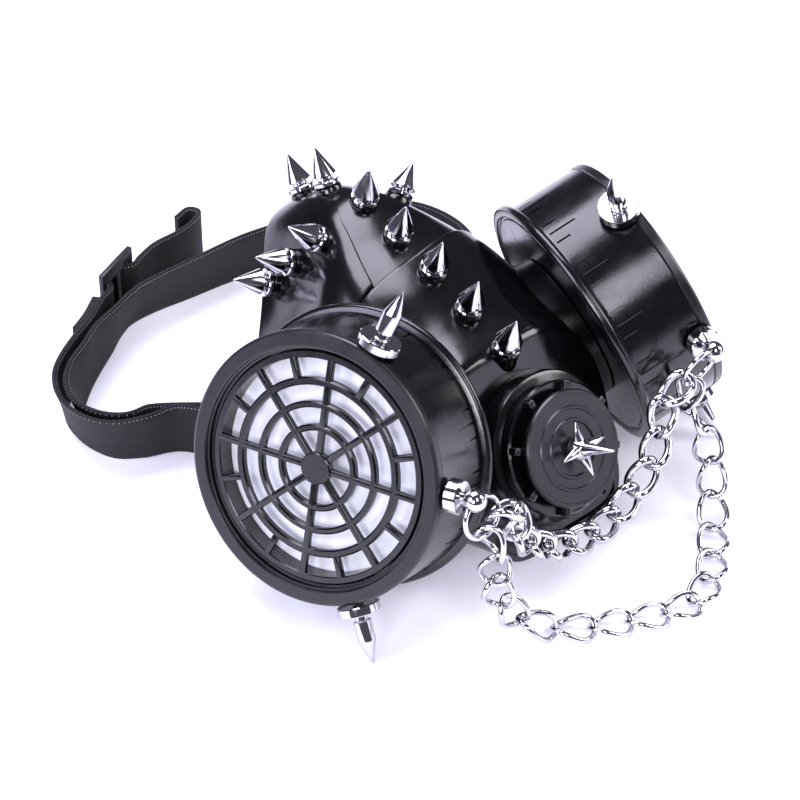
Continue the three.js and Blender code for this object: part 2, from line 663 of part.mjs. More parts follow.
function chain(name, size, route, hook) {
  const from = hookPoint(-1, hook.right, size.wire);
  const to = hookPoint(1, hook.left, size.wire);
  const lead = (end) => end.place.clone().addScaledVector(end.radial, size.pitch);
  const middle = route.map((row) => vector(...row.slice(0, 3)));
  const places = [from.place, lead(from), ...middle, lead(to), to.place];
  const turns = route.map((row) => vector(...row.slice(3)).normalize());
  const facings = [from.facing, from.facing, ...turns, to.facing, to.facing];
  const path = new THREE.CatmullRomCurve3(places, false, 'centripetal');
  const facing = new THREE.CatmullRomCurve3(facings, false, 'centripetal');
  const count = Math.round(path.getLength() / size.pitch);
  const joints = path.getSpacedPoints(count);
  const links = [];
  for (let i = 0; i < count; i += 1) {
    const along = joints[i + 1].clone().sub(joints[i]);
    const halfLength = (along.length() + contactShare * size.wire) / 2;
    const share = i === 0 ? 0 : i === count - 1 ? 1 : (i + 0.5) / count;
    const out = facing.getPoint(path.getUtoTmapping(share));
    const x = along.normalize();
    const z = out.addScaledVector(x, -out.dot(x)).normalize();
    const centre = joints[i].clone().add(joints[i + 1]).multiplyScalar(0.5);
    const frame = new THREE.Matrix4().makeBasis(x, z.clone().cross(x), z).setPosition(centre);
    const curve = new LinkCurve(halfLength, size.halfWidth, size.twist);
    links.push(solid(new THREE.TubeGeometry(curve, linkSteps, size.wire / 2, wireSides, true), frame));
  }
  addPart(name, withoutPockets(joined(links)), finish.chrome);
}

function valve() {
  const group = new THREE.Group();
  group.applyMatrix4(aimed(valvePlace, valveAxis));
  root.add(group);
  const disc = (radius, foot, top) => solid(turned([[0, foot], [radius, foot], [radius, top], [0, top]], valveSides));
  const flangeTop = seatGap + flangeHeight;
  addPart('valve_flange', disc(flangeRadius, seatGap, flangeTop), finish.vinyl, group);

  const cageFoot = flangeTop + seatGap;
  const cageTop = cageFoot + cageHeight;
  const ribs = Array.from({ length: cageRibs }, (_, i) => solid(
    new THREE.BoxGeometry(cageRadius - cageInner + 1, cageRibWidth, cageHeight)
      .translate((cageRadius + cageInner - 1) / 2, 0, cageFoot + cageHeight / 2),
    new THREE.Matrix4().makeRotationZ(2 * Math.PI * (i + 0.5) / cageRibs)));
  addPart('valve_cage', joined([
    disc(cageRadius, cageFoot, cageFoot + cageRing), disc(cageInner, cageFoot, cageTop), ...ribs,
  ]).intersect(disc(cageRadius, cageFoot, cageTop)), finish.canister, group);

  const coverFoot = cageTop + seatGap;
  const coverTop = coverFoot + coverHeight;
  const step = 0.35 * coverDishDepth;
  addPart('valve_cover', solid(turned([
    [0, coverFoot], [coverRadius, coverFoot], [coverRadius, coverTop - step], [coverStep, coverTop - step],
    [coverStep, coverTop], [coverDish, coverTop], [coverDish, coverTop - coverDishDepth], [0, coverTop - coverDishDepth],
  ], valveSides)), finish.canister, group);

  const starFoot = coverTop - coverDishDepth + seatGap;
  const hubHeight = 1.7 * starHub;
  const centre = solid(turned([
    [0, starFoot], [starHub, starFoot], [starHub, starFoot + hubHeight], [0.7 * starHub, starFoot + hubHeight + 1],
    [starTip, starFoot + starReach - starTip], [0, starFoot + starReach],
  ], treeSides));
  const arms = Array.from({ length: 4 }, (_, i) => {
    const out = vector(Math.cos(i * Math.PI / 2), Math.sin(i * Math.PI / 2), starArmLean);
    const profile = [[0, 0], [starArmRadius, 0], [starArmRadius, starHub], [starTip, starArm - starTip], [0, starArm]];
    return solid(turned(profile, wireSides + 3), aimed(vector(0, 0, starFoot + hubHeight / 2), out, zAxis));
  });
  addPart('valve_star', joined([centre, ...arms]), finish.chrome, group);
}

// Points round a tab's upright bar, in plan, between two angles
function barTurn(side, { from, to }) {
  const radius = Math.hypot(tabBar, tabThickness) / 2 + seatGap + strapThickness / 2;
  const along = vector(tabEnd.x - tabStart.x, tabEnd.y - tabStart.y, 0).normalize();
  const centre = vector(tabEnd.x, tabEnd.y, 0).addScaledVector(along, -tabBar / 2);
  const steps = Math.round(Math.abs(to - from) / 40);
  return Array.from({ length: steps + 1 }, (_, i) => {
    const angle = radians(from + (to - from) * i / steps);
    return vector(side * (centre.x + radius * Math.cos(angle)), centre.y + radius * Math.sin(angle), 0);
  });
}

// The slide's frame in plan: where it starts and the way it runs
const slideDirection = vector(Math.cos(radians(slideTurn)), Math.sin(radians(slideTurn)), 0);
const slideOutward = vector(-slideDirection.y, slideDirection.x, 0);
const slidePlace = vector(slideStart.x, tabEnd.y + slideStart.behind, 0);
function slidePoint(along, outward) {
  return slidePlace.clone().addScaledVector(slideDirection, along).addScaledVector(slideOutward, outward);
}

// Rows of a strap route as points of its lower edge, with the lean of its upper edge in place of z
function strapRoute(rows) {
  return rows.map(([x, behind, lean]) => vector(x, tabEnd.y + behind, lean));
}

// A ribbon that stands on its lower edge along a route, with two steps between the route's points
function ribbon(route, thickness = strapThickness) {
  const curve = new THREE.CatmullRomCurve3(route, false, 'centripetal');
  const steps = 2 * (route.length - 1);
  const positions = [];
  const index = [];
  for (let i = 0; i <= steps; i += 1) {
    const point = curve.getPoint(i / steps);
    const along = curve.getTangent(i / steps).setZ(0).normalize();
    const left = vector(-along.y, along.x, 0);
    for (const [side, level] of [[-1, 0], [1, 0], [1, 1], [-1, 1]]) {
      const place = vector(point.x, point.y, level * strapWidth)
        .addScaledVector(left, side * thickness / 2 + level * point.z);
      positions.push(...place.toArray());
    }
    if (i === steps) break;
    for (let corner = 0; corner < 4; corner += 1) {
      const [a, b] = [4 * i + corner, 4 * i + (corner + 1) % 4];
      index.push(a, b, a + 4, b, b + 4, a + 4);
    }
  }
  const last = 4 * steps;
  index.push(0, 2, 1, 0, 3, 2, last, last + 1, last + 2, last, last + 2, last + 3);
  const geometry = new THREE.BufferGeometry();
  geometry.setAttribute('position', new THREE.BufferAttribute(new Float32Array(positions), 3));
  geometry.setIndex(index);
  return solid(geometry);
}

function strap() {
  const middle = slideEdge + slideSlot + slideBar / 2;
  const length = 2 * (slideEdge + slideSlot) + slideBar;
  const weave = [
    slidePoint(-3, -slideWeave), slidePoint(slideEdge, -slideWeave), slidePoint(middle - slideBar, slideWeave),
    slidePoint(middle + slideBar, slideWeave), slidePoint(length - slideEdge, -slideWeave),
    slidePoint(length + 3, -slideWeave),
  ];
  const rightTurn = barTurn(-1, rightBarTurn);
  const inner = ribbon([...barTurn(1, leftBarTurn), ...strapRoute(strapInner), ...rightTurn]);
  const outer = ribbon([...rightTurn.slice(-2), ...strapRoute(strapOuter), ...weave, ...strapRoute(strapTail)]);
  const flap = ribbon(strapRoute(strapFlap), flapThickness);
  const lowEdge = halfSpace({ y: tabEnd.y + 20, z: 0 }, { y: tabEnd.y + 2, z: strapSlotRise }, -1);
  addPart('strap_band', withoutPockets(joined([inner, outer, flap])).subtract(lowEdge), finish.strap);
}

// The plastic slide: a frame with two upright slots, standing on the floor with the strap woven through it
function slide() {
  const length = 2 * (slideEdge + slideSlot) + slideBar;
  const place = new THREE.Matrix4().makeBasis(slideDirection, slideOutward, zAxis).setPosition(slidePlace);
  const slot = (from) => solid(new THREE.BoxGeometry(slideSlot, slideThickness + cutRun, slotHeight)
    .translate(from + slideSlot / 2, 0, slotHeight / 2 - cutRun), place);
  const slotHeight = strapWidth + seatGap + cutRun;
  const frame = solid(new THREE.BoxGeometry(length, slideThickness, slideHeight)
    .translate(length / 2, 0, slideHeight / 2), place);
  addPart('strap_slide', frame.subtract(slot(slideEdge)).subtract(slot(slideEdge + slideSlot + slideBar)), finish.slide);
}

facepiece();
treeSpikeShapes();
for (const side of [1, -1]) {
  const name = side > 0 ? 'left' : 'right';
  canister(side);
  bulletSpike(`${name}_upper_spike`, side, upperSpikeTurn);
  bulletSpike(`${name}_lower_spike`, side, lowerSpikeTurn);
  ringStud(side);
}
valve();
chain('short_chain', shortChain, shortRoute, shortHook);
chain('long_chain', longChain, longRoute, longHook);
strap();
slide();

root.updateMatrixWorld(true);
const box = new THREE.Box3().setFromObject(root, true);
root.position.set(-(box.min.x + box.max.x) / 2, -(box.min.y + box.max.y) / 2, -box.min.z);
root.updateMatrixWorld(true);

export default root;
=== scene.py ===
"""Looks for a gas mask style costume mask: vinyl half mask, two canisters, valve, spikes, chains and strap.

Shapes are worked out in millimetres in the mask's own frame, where x = 0 is its middle plane, y = 0 runs
through the backs of the canisters and z = 0 is the floor. Each finished mesh is then put in metres in the
CAD model's frame.
"""
import math

import bmesh
import bpy
import numpy as np
from mathutils import Matrix, Vector, noise


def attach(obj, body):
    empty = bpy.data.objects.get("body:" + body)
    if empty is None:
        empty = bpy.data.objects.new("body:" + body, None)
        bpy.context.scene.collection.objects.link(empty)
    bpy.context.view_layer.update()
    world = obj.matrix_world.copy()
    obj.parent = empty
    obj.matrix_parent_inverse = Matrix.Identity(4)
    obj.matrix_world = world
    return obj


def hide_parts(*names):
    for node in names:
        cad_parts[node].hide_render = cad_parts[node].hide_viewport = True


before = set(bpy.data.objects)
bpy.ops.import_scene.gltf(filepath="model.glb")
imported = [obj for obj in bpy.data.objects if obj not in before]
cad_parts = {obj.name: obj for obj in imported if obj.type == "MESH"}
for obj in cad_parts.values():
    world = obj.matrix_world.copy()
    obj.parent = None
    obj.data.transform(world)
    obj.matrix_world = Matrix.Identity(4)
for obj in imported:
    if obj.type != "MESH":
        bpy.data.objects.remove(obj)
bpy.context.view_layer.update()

# The mask frame's place in the CAD model, in millimetres
PART_ORIGIN = (0.0, -32.633, 0.048)
X_AXIS, Y_AXIS, Z_AXIS = Vector((1, 0, 0)), Vector((0, 1, 0)), Vector((0, 0, 1))

# Facepiece
FACE_LENGTH, FACE_HEIGHT, FACE_HALF_WIDTH = 112.0, 81.0, 43.0
FACE_FRONT = -48.0
FACE_WALL = 2.2
FRONT_LIFT, TONGUE_LIFT = 1.5, 1.0
FRONT_FOOT, FRONT_CREASE = (-46.4, 5.0), (-16.0, 60.0)
SEAL_FOOT, SEAL_TOP = (35.0, 1.5), (82.0, 68.0)
# Sections from front to back as shares of the length, height and half width:
# y, ridge height, shoulder, middle, side, low, bottom height
FACE_SECTIONS = [
    (-0.1, 0.59, (0.4, 0.565), (0.52, 0.48), (0.56, 0.33), (0.48, 0.18), 0.15),
    (0.1, 0.68, (0.46, 0.66), (0.64, 0.56), (0.66, 0.37), (0.55, 0.13), 0.1),
    (0.286, 0.757, (0.51, 0.735), (0.73, 0.61), (0.78, 0.4), (0.64, 0.1), 0.05),
    (0.454, 0.838, (0.53, 0.8), (0.79, 0.665), (0.87, 0.43), (0.72, 0.09), 0.03),
    (0.595, 0.92, (0.5, 0.88), (0.8, 0.72), (0.91, 0.44), (0.78, 0.09), 0.022),
    (0.737, 0.984, (0.43, 0.945), (0.72, 0.78), (0.93, 0.43), (0.85, 0.1), 0.012),
    (0.868, 1.045, (0.31, 0.995), (0.55, 0.8), (0.95, 0.4), (0.95, 0.12), 0),
    (1, 1.027, (0.29, 0.955), (0.51, 0.715), (0.92, 0.34), (0.9, 0.1), 0),
    (1.106, 0.938, (0.28, 0.88), (0.49, 0.68), (0.86, 0.35), (0.8, 0.1), 0),
    (1.25, 0.76, (0.26, 0.71), (0.44, 0.57), (0.78, 0.3), (0.7, 0.1), 0),
]
# Where the raised front ends, as y against x, and how softly the skin is held at the front plane
FRONT_EDGE = [(-43, 22.7), (-20, 24.0), (0, 25.5), (16, 28.0), (32, 30.0), (43, 30.0)]
FRONT_SOFT = 0.8
# The step behind the raised front: mm behind its edge, and the height as a share of the lift
FRONT_STEP = [(-1.2, 1.0), (-0.5, 1.0), (-0.15, 0.85), (0.08, 0.0), (0.25, -0.5), (0.8, -0.5), (1.2, -0.05),
              (1.7, 0.0)]
# Rows of points ahead of that step and behind it, how far from it they end, and the y where a rail is
# looked up in FRONT_EDGE
ROWS_AHEAD, ROWS_BEHIND, STEP_AHEAD, STEP_BEHIND, EDGE_LOOKUP = 82, 62, 1.6, 2.3, 27
# The half width of the raised tongue against y
TONGUE = [(21, 19.5), (33, 15.5), (41, 12.5), (48, 10.0), (54, 6.5), (57, 0.0)]

# Tree spikes: y, z and forward lean on the ridge; x, y, z and direction beside the nose bridge
RIDGE_SPIKES = [(-15, 64, 18), (1.4, 69.9, 18), (17.2, 76.3, 18), (33.2, 81, 16), (48.6, 86.2, 10),
                (66.1, 83.3, -27), (78, 75.3, -34)]
SIDE_SPIKES = [((17, 51, 78), (0.75, 0.28, 0.6)), ((21, 60.5, 66.3), (0.86, 0.3, 0.41)),
               ((24, 67.7, 56), (0.88, 0.32, 0.35))]
POST_RADIUS, POST_HEIGHT, POST_ROOT = 4.5, 4.2, 2.4
SEAT_GAP = 0.3

# Canisters
CANISTER_OUT, CANISTER_UP = 44.5, 41.7
CANISTER_FORWARD, CANISTER_RISE = 15.6, 20.5
LIP_RADIUS, LIP_THICKNESS = 44.0, 3.0
DRUM_RADIUS, DRUM_WALL, DRUM_FLOOR = 41.6, 2.6, 3.0
CANISTER_DEPTH = 31.2
BEZEL_RADIUS, BEZEL_HEIGHT, BEZEL_OPENING = 41.9, 3.4, 35.8
SLEEVE_WALL, SLEEVE_DEPTH = 1.6, 8.2
NECK_RADIUS, NECK_ROOT_RADIUS, NECK_ROOT, NECK_BORE = 25.0, 28.0, 13.0, 12.0
HUB_RADIUS, HUB_RISE = 4.9, 0.6
GRILLE_RINGS = [(13.3, 2.0), (20.3, 2.0), (27.5, 2.4)]
RIM_WIDTH = 2.2
SPOKES, SPOKE_WIDTH = 8, 2.1
GRILLE_RECESS, BAR_HEIGHT, GRILLE_TURN = 2.0, 2.0, 9.0
FILTER_THICKNESS = 2.6
STUD_SETBACK = 5.6
RING_STUD_TURN, UPPER_SPIKE_TURN, LOWER_SPIKE_TURN = 14.2, 81.6, -55.8
PAD_RADIUS, PAD_HEIGHT = 1.8, 0.9
# Tick grooves: groups round the drum, where they start, and each groove by its turn in degrees and length
TICK_GROUPS, TICK_START = 14, 11
TICKS = ((-6.0, 5.0), (0.0, 9.5), (6.0, 5.0))
BALL_RADIUS, BALL_REACH = 3.4, 9.4
JUMP_RADIUS, JUMP_WIRE, JUMP_HOLE_GAP = 6.6, 1.6, 0.35
RING_LEANS = {1: Vector((-0.8, 0.15, -0.56)).normalized(), -1: Vector((0.245, -0.19, -0.954)).normalized()}
BULLET_REACH, BULLET_POINT, BULLET_WASHER = 19.9, 7.5, 2.9

# Chains: link pitch, wire, half width and twist, and the routes with the way each link faces
CONTACT_SHARE, HOOK_GAP = 0.85, 0.5
SHORT_CHAIN = {"pitch": 9.8, "wire": 2.6, "half_width": 3.9, "twist": 1.6, "hook": {-1: 56, 1: 4}}
LONG_CHAIN = {"pitch": 11.7, "wire": 1.85, "half_width": 4.5, "twist": 1.6, "hook": {-1: 0, 1: -50}}
SHORT_ROUTE = [
    (-36, -56.5, 36.5, -0.3, -0.6, 0.7), (-28, -57, 28.5, -0.2, -0.6, 0.8),
    (-18, -57.5, 21.5, -0.3, -0.7, 0.7),
    (-6, -58, 18.5, -0.3, -0.75, 0.65), (6, -58, 19.5, -0.4, -0.7, 0.6), (16, -57.5, 25.5, -0.5, -0.65, 0.6),
    (25, -57, 34.5, -0.55, -0.6, 0.55),
]
LONG_ROUTE = [
    (-49.7, -58.8, 35, -0.5, -0.7, 0.3), (-46.5, -59.8, 23.5, -0.5, -0.7, 0.3),
    (-42, -61, 11.5, -0.4, -0.6, 0.6),
    (-34, -64, 4.3, -0.1, -0.2, 1),
    (-26, -72, 2.7, 0, 0, 1), (-15.5, -78.5, 2.7, 0, 0, 1), (-3, -85, 2.7, 0, 0, 1), (8, -89.5, 2.7, 0, 0, 1),
    (19, -87, 2.7, 0, 0, 1), (29, -80, 2.7, 0, 0, 1), (38.5, -71.5, 3, 0, -0.1, 1),
    (46, -64.5, 7, -0.3, -0.6, 0.7), (48, -60.5, 17, -0.4, -0.9, 0.1), (47.5, -58.5, 29, -0.5, -0.9, 0.1),
]

# Valve
VALVE_RISE = 0.5329
FLANGE_RADIUS, FLANGE_HEIGHT = 24.0, 7.5
CAGE_RADIUS, CAGE_INNER, CAGE_RING, CAGE_HEIGHT = 21.0, 15.6, 3.6, 6.7
CAGE_RIBS, CAGE_RIB_WIDTH = 8, 2.4
COVER_RADIUS, COVER_HEIGHT, COVER_STEP, COVER_DISH = 18.2, 2.2, 12.6, 8.8
STAR_HUB, STAR_REACH, STAR_ARM, STAR_ARM_RADIUS, STAR_ARM_LEAN = 3.2, 18.5, 9.3, 2.0, 0.25

# Strap, tabs and slide
STRAP_WIDTH, STRAP_THICKNESS, STRAP_SLOT_RISE = 22.0, 1.6, 2.0
TAB_START, TAB_END = (41.2, 29.0), (47.0, 61.0)
TAB_THICKNESS, TAB_HEIGHT, TAB_ARM, TAB_BAR, TAB_SLOT = 3.0, 26.0, 1.7, 3.0, 5.0
# Routes of the band's lower edge: x, y behind the tabs' ends, and the lean of its upper edge to the left
STRAP_INNER = [
    (56, 2.5, 0), (66, 5.5, 0), (74, 11.5, 0), (79, 22, 0), (79.5, 35, 0), (75, 47, 0), (64, 56.5, 0),
    (45, 66, 2),
    (20, 75, 4.5), (-2, 78.2, 6.5), (-17, 80.3, 8), (-27, 80, 8), (-34.3, 76.8, 6.5), (-42, 71.6, 4),
    (-52, 65.5, 1),
    (-61, 59.3, 0), (-68, 53, -2.5), (-72.2, 46.5, -5), (-74.2, 39.5, -7), (-74, 32.5, -7.5), (-71, 26, -6.5),
    (-64, 21.8, -4),
]
STRAP_OUTER = [
    (-58, 14.4, 2.5), (-68.2, 20.4, 6), (-75, 26.4, 8), (-77.6, 35.5, 8), (-77.3, 44, 6), (-75, 52, 3),
    (-70, 58.8, 0.5), (-61, 64.4, 0), (-51, 69, 0),
]
STRAP_TAIL = [(-8, 88, 0), (2, 88.2, 0), (12, 90.2, 0), (16.6, 93.6, 0), (14.6, 97, 0), (8, 95.6, 0)]
STRAP_FLAP = [(-58, 67.2, 0), (-50.5, 71, 0), (-42.5, 76.4, 0)]
FLAP_THICKNESS = 3.0
# The band is read in this many divisions and built in steps of this length
BAND_DIVISIONS, BAND_STEP = 1500, 1.2
SLIDE_START, SLIDE_TURN = (-38.2, TAB_END[1] + 79.0), 22.0
SLIDE_EDGE, SLIDE_SLOT, SLIDE_BAR, SLIDE_THICKNESS, SLIDE_HEIGHT, SLIDE_WEAVE = 2.4, 6.2, 2.6, 2.0, 27.0, 2.2


# Colours and nodes

def linear(hex_colour, alpha=1.0):
    """An sRGB hex colour as a linear one."""
    values = [int(hex_colour[i:i + 2], 16) / 255 for i in (1, 3, 5)]
    return [v / 12.92 if v <= 0.04045 else ((v + 0.055) / 1.055) ** 2.4 for v in values] + [alpha]


def add_node(tree, kind, inputs=None, **settings):
    """A node with its settings, and its inputs linked or set."""
    node = tree.nodes.new(kind)
    for name, value in settings.items():
        setattr(node, name, value)
    for socket, value in (inputs or {}).items():
        if isinstance(value, bpy.types.NodeSocket):
            tree.links.new(value, node.inputs[socket])
        else:
            node.inputs[socket].default_value = value
    return node


def new_finish(name, hex_colour, **shader_values):
    """A material with its Principled shader, returned with its tree and shader."""
    material = bpy.data.materials.new(name)
    material.use_nodes = True
    tree = material.node_tree
    tree.nodes.clear()
    values = {"Base Color": linear(hex_colour), **shader_values}
    shader = add_node(tree, "ShaderNodeBsdfPrincipled", values)
    add_node(tree, "ShaderNodeOutputMaterial", {"Surface": shader.outputs["BSDF"]})
    return material, tree, shader


def uneven(tree, coordinates, size_mm, low, high, detail=3.0):
    """Noise of a real size, as a value from low to high."""
    cloud = add_node(tree, "ShaderNodeTexNoise",
                     {"Vector": coordinates, "Scale": 1000 / size_mm, "Detail": detail})
    return add_node(tree, "ShaderNodeMapRange", {
        "Value": cloud.outputs["Fac"], "From Min": 0.3, "From Max": 0.7, "To Min": low, "To Max": high})


def vinyl_finish():
    """Soft PVC, slush moulded and glossy: deep black with broad soft highlights and a faint waviness."""
    material, tree, shader = new_finish("soft pvc, slush moulded", "#050507", **{"IOR": 1.55})
    place = add_node(tree, "ShaderNodeTexCoord").outputs["Object"]
    sheen = uneven(tree, place, 14, 0.13, 0.22)
    tree.links.new(sheen.outputs["Result"], shader.inputs["Roughness"])
    waves = uneven(tree, place, 9, 0, 1, detail=1.5)
    bump = add_node(tree, "ShaderNodeBump", {
        "Height": waves.outputs["Result"], "Strength": 0.25, "Distance": 0.00025})
    tree.links.new(bump.outputs["Normal"], shader.inputs["Normal"])
    return material


def abs_finish(name, hex_colour, rough_low, rough_high):
    """Injection moulded ABS: a little softer in its shine than the vinyl, with slight sink waves."""
    material, tree, shader = new_finish(name, hex_colour, **{"IOR": 1.54})
    place = add_node(tree, "ShaderNodeTexCoord").outputs["Object"]
    sheen = uneven(tree, place, 6, rough_low, rough_high)
    tree.links.new(sheen.outputs["Result"], shader.inputs["Roughness"])
    grain = uneven(tree, place, 0.9, 0, 1)
    bump = add_node(tree, "ShaderNodeBump", {
        "Height": grain.outputs["Result"], "Strength": 0.18, "Distance": 0.00006})
    tree.links.new(bump.outputs["Normal"], shader.inputs["Normal"])
    return material


def chrome_finish():
    """Bright chrome plate on die-cast zinc: mirror-like with faint handling smears."""
    material, tree, shader = new_finish("chrome plate on zinc", "#c4c3c6", **{"Metallic": 1.0})
    place = add_node(tree, "ShaderNodeTexCoord").outputs["Object"]
    smears = uneven(tree, place, 3, 0.05, 0.14)
    tree.links.new(smears.outputs["Result"], shader.inputs["Roughness"])
    return material


def felt_finish():
    """Needled polyester felt: matte white with fine clumps of fibre."""
    material, tree, shader = new_finish("needled polyester felt", "#eceef4", **{"Roughness": 0.95})
    place = add_node(tree, "ShaderNodeTexCoord").outputs["Object"]
    clumps = uneven(tree, place, 1.6, 0, 1, detail=6)
    shade = add_node(tree, "ShaderNodeMix", {
        "Factor": clumps.outputs["Result"], "A": linear("#f4f5fa"), "B": linear("#fafbfe")}, data_type="RGBA")
    tree.links.new(shade.outputs["Result"], shader.inputs["Base Color"])
    bump = add_node(tree, "ShaderNodeBump", {
        "Height": clumps.outputs["Result"], "Strength": 0.3, "Distance": 0.0001})
    tree.links.new(bump.outputs["Normal"], shader.inputs["Normal"])
    return material


def elastic_finish():
    """Woven polyester elastic, read along the band: lengthwise cords about 1 mm apart, drawn a little coarse
    so that they show, crossed by fine picks."""
    material, tree, shader = new_finish("woven polyester elastic", "#0d0d10", **{"Roughness": 0.78})
    band = add_node(tree, "ShaderNodeUVMap", uv_map="band")
    cords = add_node(tree, "ShaderNodeTexWave",
                     {"Vector": band.outputs["UV"], "Scale": 0.31, "Distortion": 0.2},
                     wave_type="BANDS", bands_direction="Y")
    picks = add_node(tree, "ShaderNodeTexWave",
                     {"Vector": band.outputs["UV"], "Scale": 0.52, "Distortion": 0.4},
                     wave_type="BANDS", bands_direction="X")
    weave = add_node(tree, "ShaderNodeMath", {0: cords.outputs["Fac"], 1: picks.outputs["Fac"]},
                     operation="MULTIPLY")
    shade = add_node(tree, "ShaderNodeMix", {
        "Factor": weave.outputs["Value"], "A": linear("#040405"), "B": linear("#101013")}, data_type="RGBA")
    tree.links.new(shade.outputs["Result"], shader.inputs["Base Color"])
    bump = add_node(tree, "ShaderNodeBump", {
        "Height": weave.outputs["Value"], "Strength": 0.6, "Distance": 0.00025})
    tree.links.new(bump.outputs["Normal"], shader.inputs["Normal"])
    return material


VINYL = vinyl_finish()
CANISTER_ABS = abs_finish("abs, injection moulded", "#07070a", 0.14, 0.24)
BEZEL_ABS = abs_finish("abs, satin moulded rim", "#0b0b10", 0.26, 0.36)
CHROME = chrome_finish()
FELT = felt_finish()
ELASTIC = elastic_finish()
THREAD = new_finish("pale elastic thread", "#8e8e96", **{"Roughness": 0.6})[0]
NYLON = abs_finish("acetal slide, moulded", "#101014", 0.34, 0.5)


# Meshes

def mesh_object(name, points, faces, material, smooth=True):
    """An object with its mesh in millimetres in the mask's frame."""
    mesh = bpy.data.meshes.new(name)
    mesh.from_pydata([tuple(p) for p in points], [], faces)
    mesh.materials.append(material)
    mesh.update()
    if smooth:
        mesh.shade_smooth()
    obj = bpy.data.objects.new(name, mesh)
    bpy.context.scene.collection.objects.link(obj)
    return obj


def merged(name, objects):
    """Several objects as one, keeping their materials."""
    bm = bmesh.new()
    materials = []
    for obj in objects:
        start = len(bm.faces)
        bm.from_mesh(obj.data)
        bm.faces.ensure_lookup_table()
        slots = []
        for slot_material in obj.data.materials:
            if slot_material not in materials:
                materials.append(slot_material)
            slots.append(materials.index(slot_material))
        for face in bm.faces[start:]:
            face.material_index = slots[min(face.material_index, len(slots) - 1)]
    mesh = bpy.data.meshes.new(name)
    bm.to_mesh(mesh)
    bm.free()
    for slot_material in materials:
        mesh.materials.append(slot_material)
    for obj in objects:
        bpy.data.objects.remove(obj)
    whole = bpy.data.objects.new(name, mesh)
    bpy.context.scene.collection.objects.link(whole)
    return whole


def recalculated(obj):
    """Doubles merged and faces turned outwards."""
    bm = bmesh.new()
    bm.from_mesh(obj.data)
    bmesh.ops.remove_doubles(bm, verts=bm.verts, dist=1e-4)
    bmesh.ops.recalc_face_normals(bm, faces=bm.faces)
    bm.to_mesh(obj.data)
    bm.free()
    return obj


def evaluated(obj):
    """The object's modifiers made part of its mesh."""
    depsgraph = bpy.context.evaluated_depsgraph_get()
    mesh = bpy.data.meshes.new_from_object(obj.evaluated_get(depsgraph))
    obj.modifiers.clear()
    obj.data = mesh
    return obj


def crisp(obj, degrees=35):
    """Smooth shading that breaks at edges sharper than this."""
    obj.data.set_sharp_from_angle(angle=math.radians(degrees))
    return obj


def lathe(name, profile, material, sides=96, closed=False, degrees=35, ripple=None):
    """A body turned about +Z from (radius, height) pairs. Ends on the axis become poles."""
    points, faces, rows = [], [], []
    for radius, height in profile:
        if radius == 0:
            rows.append([len(points)] * sides)
            points.append((0, 0, height))
            continue
        rows.append(list(range(len(points), len(points) + sides)))
        for i in range(sides):
            angle = 2 * math.pi * i / sides
            r = radius + (ripple(angle, height, radius) if ripple else 0)
            points.append((r * math.cos(angle), r * math.sin(angle), height))
    pairs = list(zip(rows, rows[1:])) + ([(rows[-1], rows[0])] if closed else [])
    for low, high in pairs:
        for i in range(sides):
            j = (i + 1) % sides
            face = list(dict.fromkeys((low[i], low[j], high[j], high[i])))
            if len(face) > 2:
                faces.append(face)
    return crisp(recalculated(mesh_object(name, points, faces, material)), degrees)


def box_object(name, low, high, material, bevel=0.0):
    """A box with rounded edges."""
    bm = bmesh.new()
    bmesh.ops.create_cube(bm, size=1)
    size = Vector(high) - Vector(low)
    middle = (Vector(high) + Vector(low)) / 2
    bmesh.ops.transform(bm, matrix=Matrix.Translation(middle) @ Matrix.Diagonal((*size, 1)), verts=bm.verts)
    mesh = bpy.data.meshes.new(name)
    bm.to_mesh(mesh)
    bm.free()
    mesh.materials.append(material)
    obj = bpy.data.objects.new(name, mesh)
    bpy.context.scene.collection.objects.link(obj)
    return rounded(obj, bevel) if bevel else obj


def rounded(obj, width, segments=3, degrees=30):
    """Edges rounded with a bevel."""
    bevel = obj.modifiers.new("rounded edges", "BEVEL")
    bevel.width = width
    bevel.segments = segments
    bevel.limit_method = "ANGLE"
    bevel.angle_limit = math.radians(degrees)
    evaluated(obj)
    obj.data.shade_smooth()
    return crisp(obj, 50)


def without(obj, cutter):
    """The object with the cutter's shape taken out."""
    cut = obj.modifiers.new("cut", "BOOLEAN")
    cut.operation = "DIFFERENCE"
    cut.object = cutter
    cut.solver = "EXACT"
    evaluated(obj)
    bpy.data.objects.remove(cutter)
    return obj


def moved(obj, matrix):
    """The mesh carried by a matrix, with the object left where it is."""
    obj.data.transform(matrix)
    return obj


def aimed(place, direction, hint=X_AXIS):
    """The frame at a place whose +Z points along a direction."""
    z = Vector(direction).normalized()
    x = (hint - z * hint.dot(z)).normalized()
    y = z.cross(x)
    matrix = Matrix((x, y, z)).transposed().to_4x4()
    matrix.translation = Vector(place)
    return matrix


def dressed(obj, slot, *nodes):
    """A finished piece in metres in the CAD frame: it rides and stands for its CAD nodes. The slot argument
    is not used.
    """
    obj.data.transform(Matrix.Translation(Vector(PART_ORIGIN) / 1000) @ Matrix.Scale(0.001, 4))
    obj.data.update()
    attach(obj, "root")
    if nodes:
        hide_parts(*nodes)
    return obj


# Curves

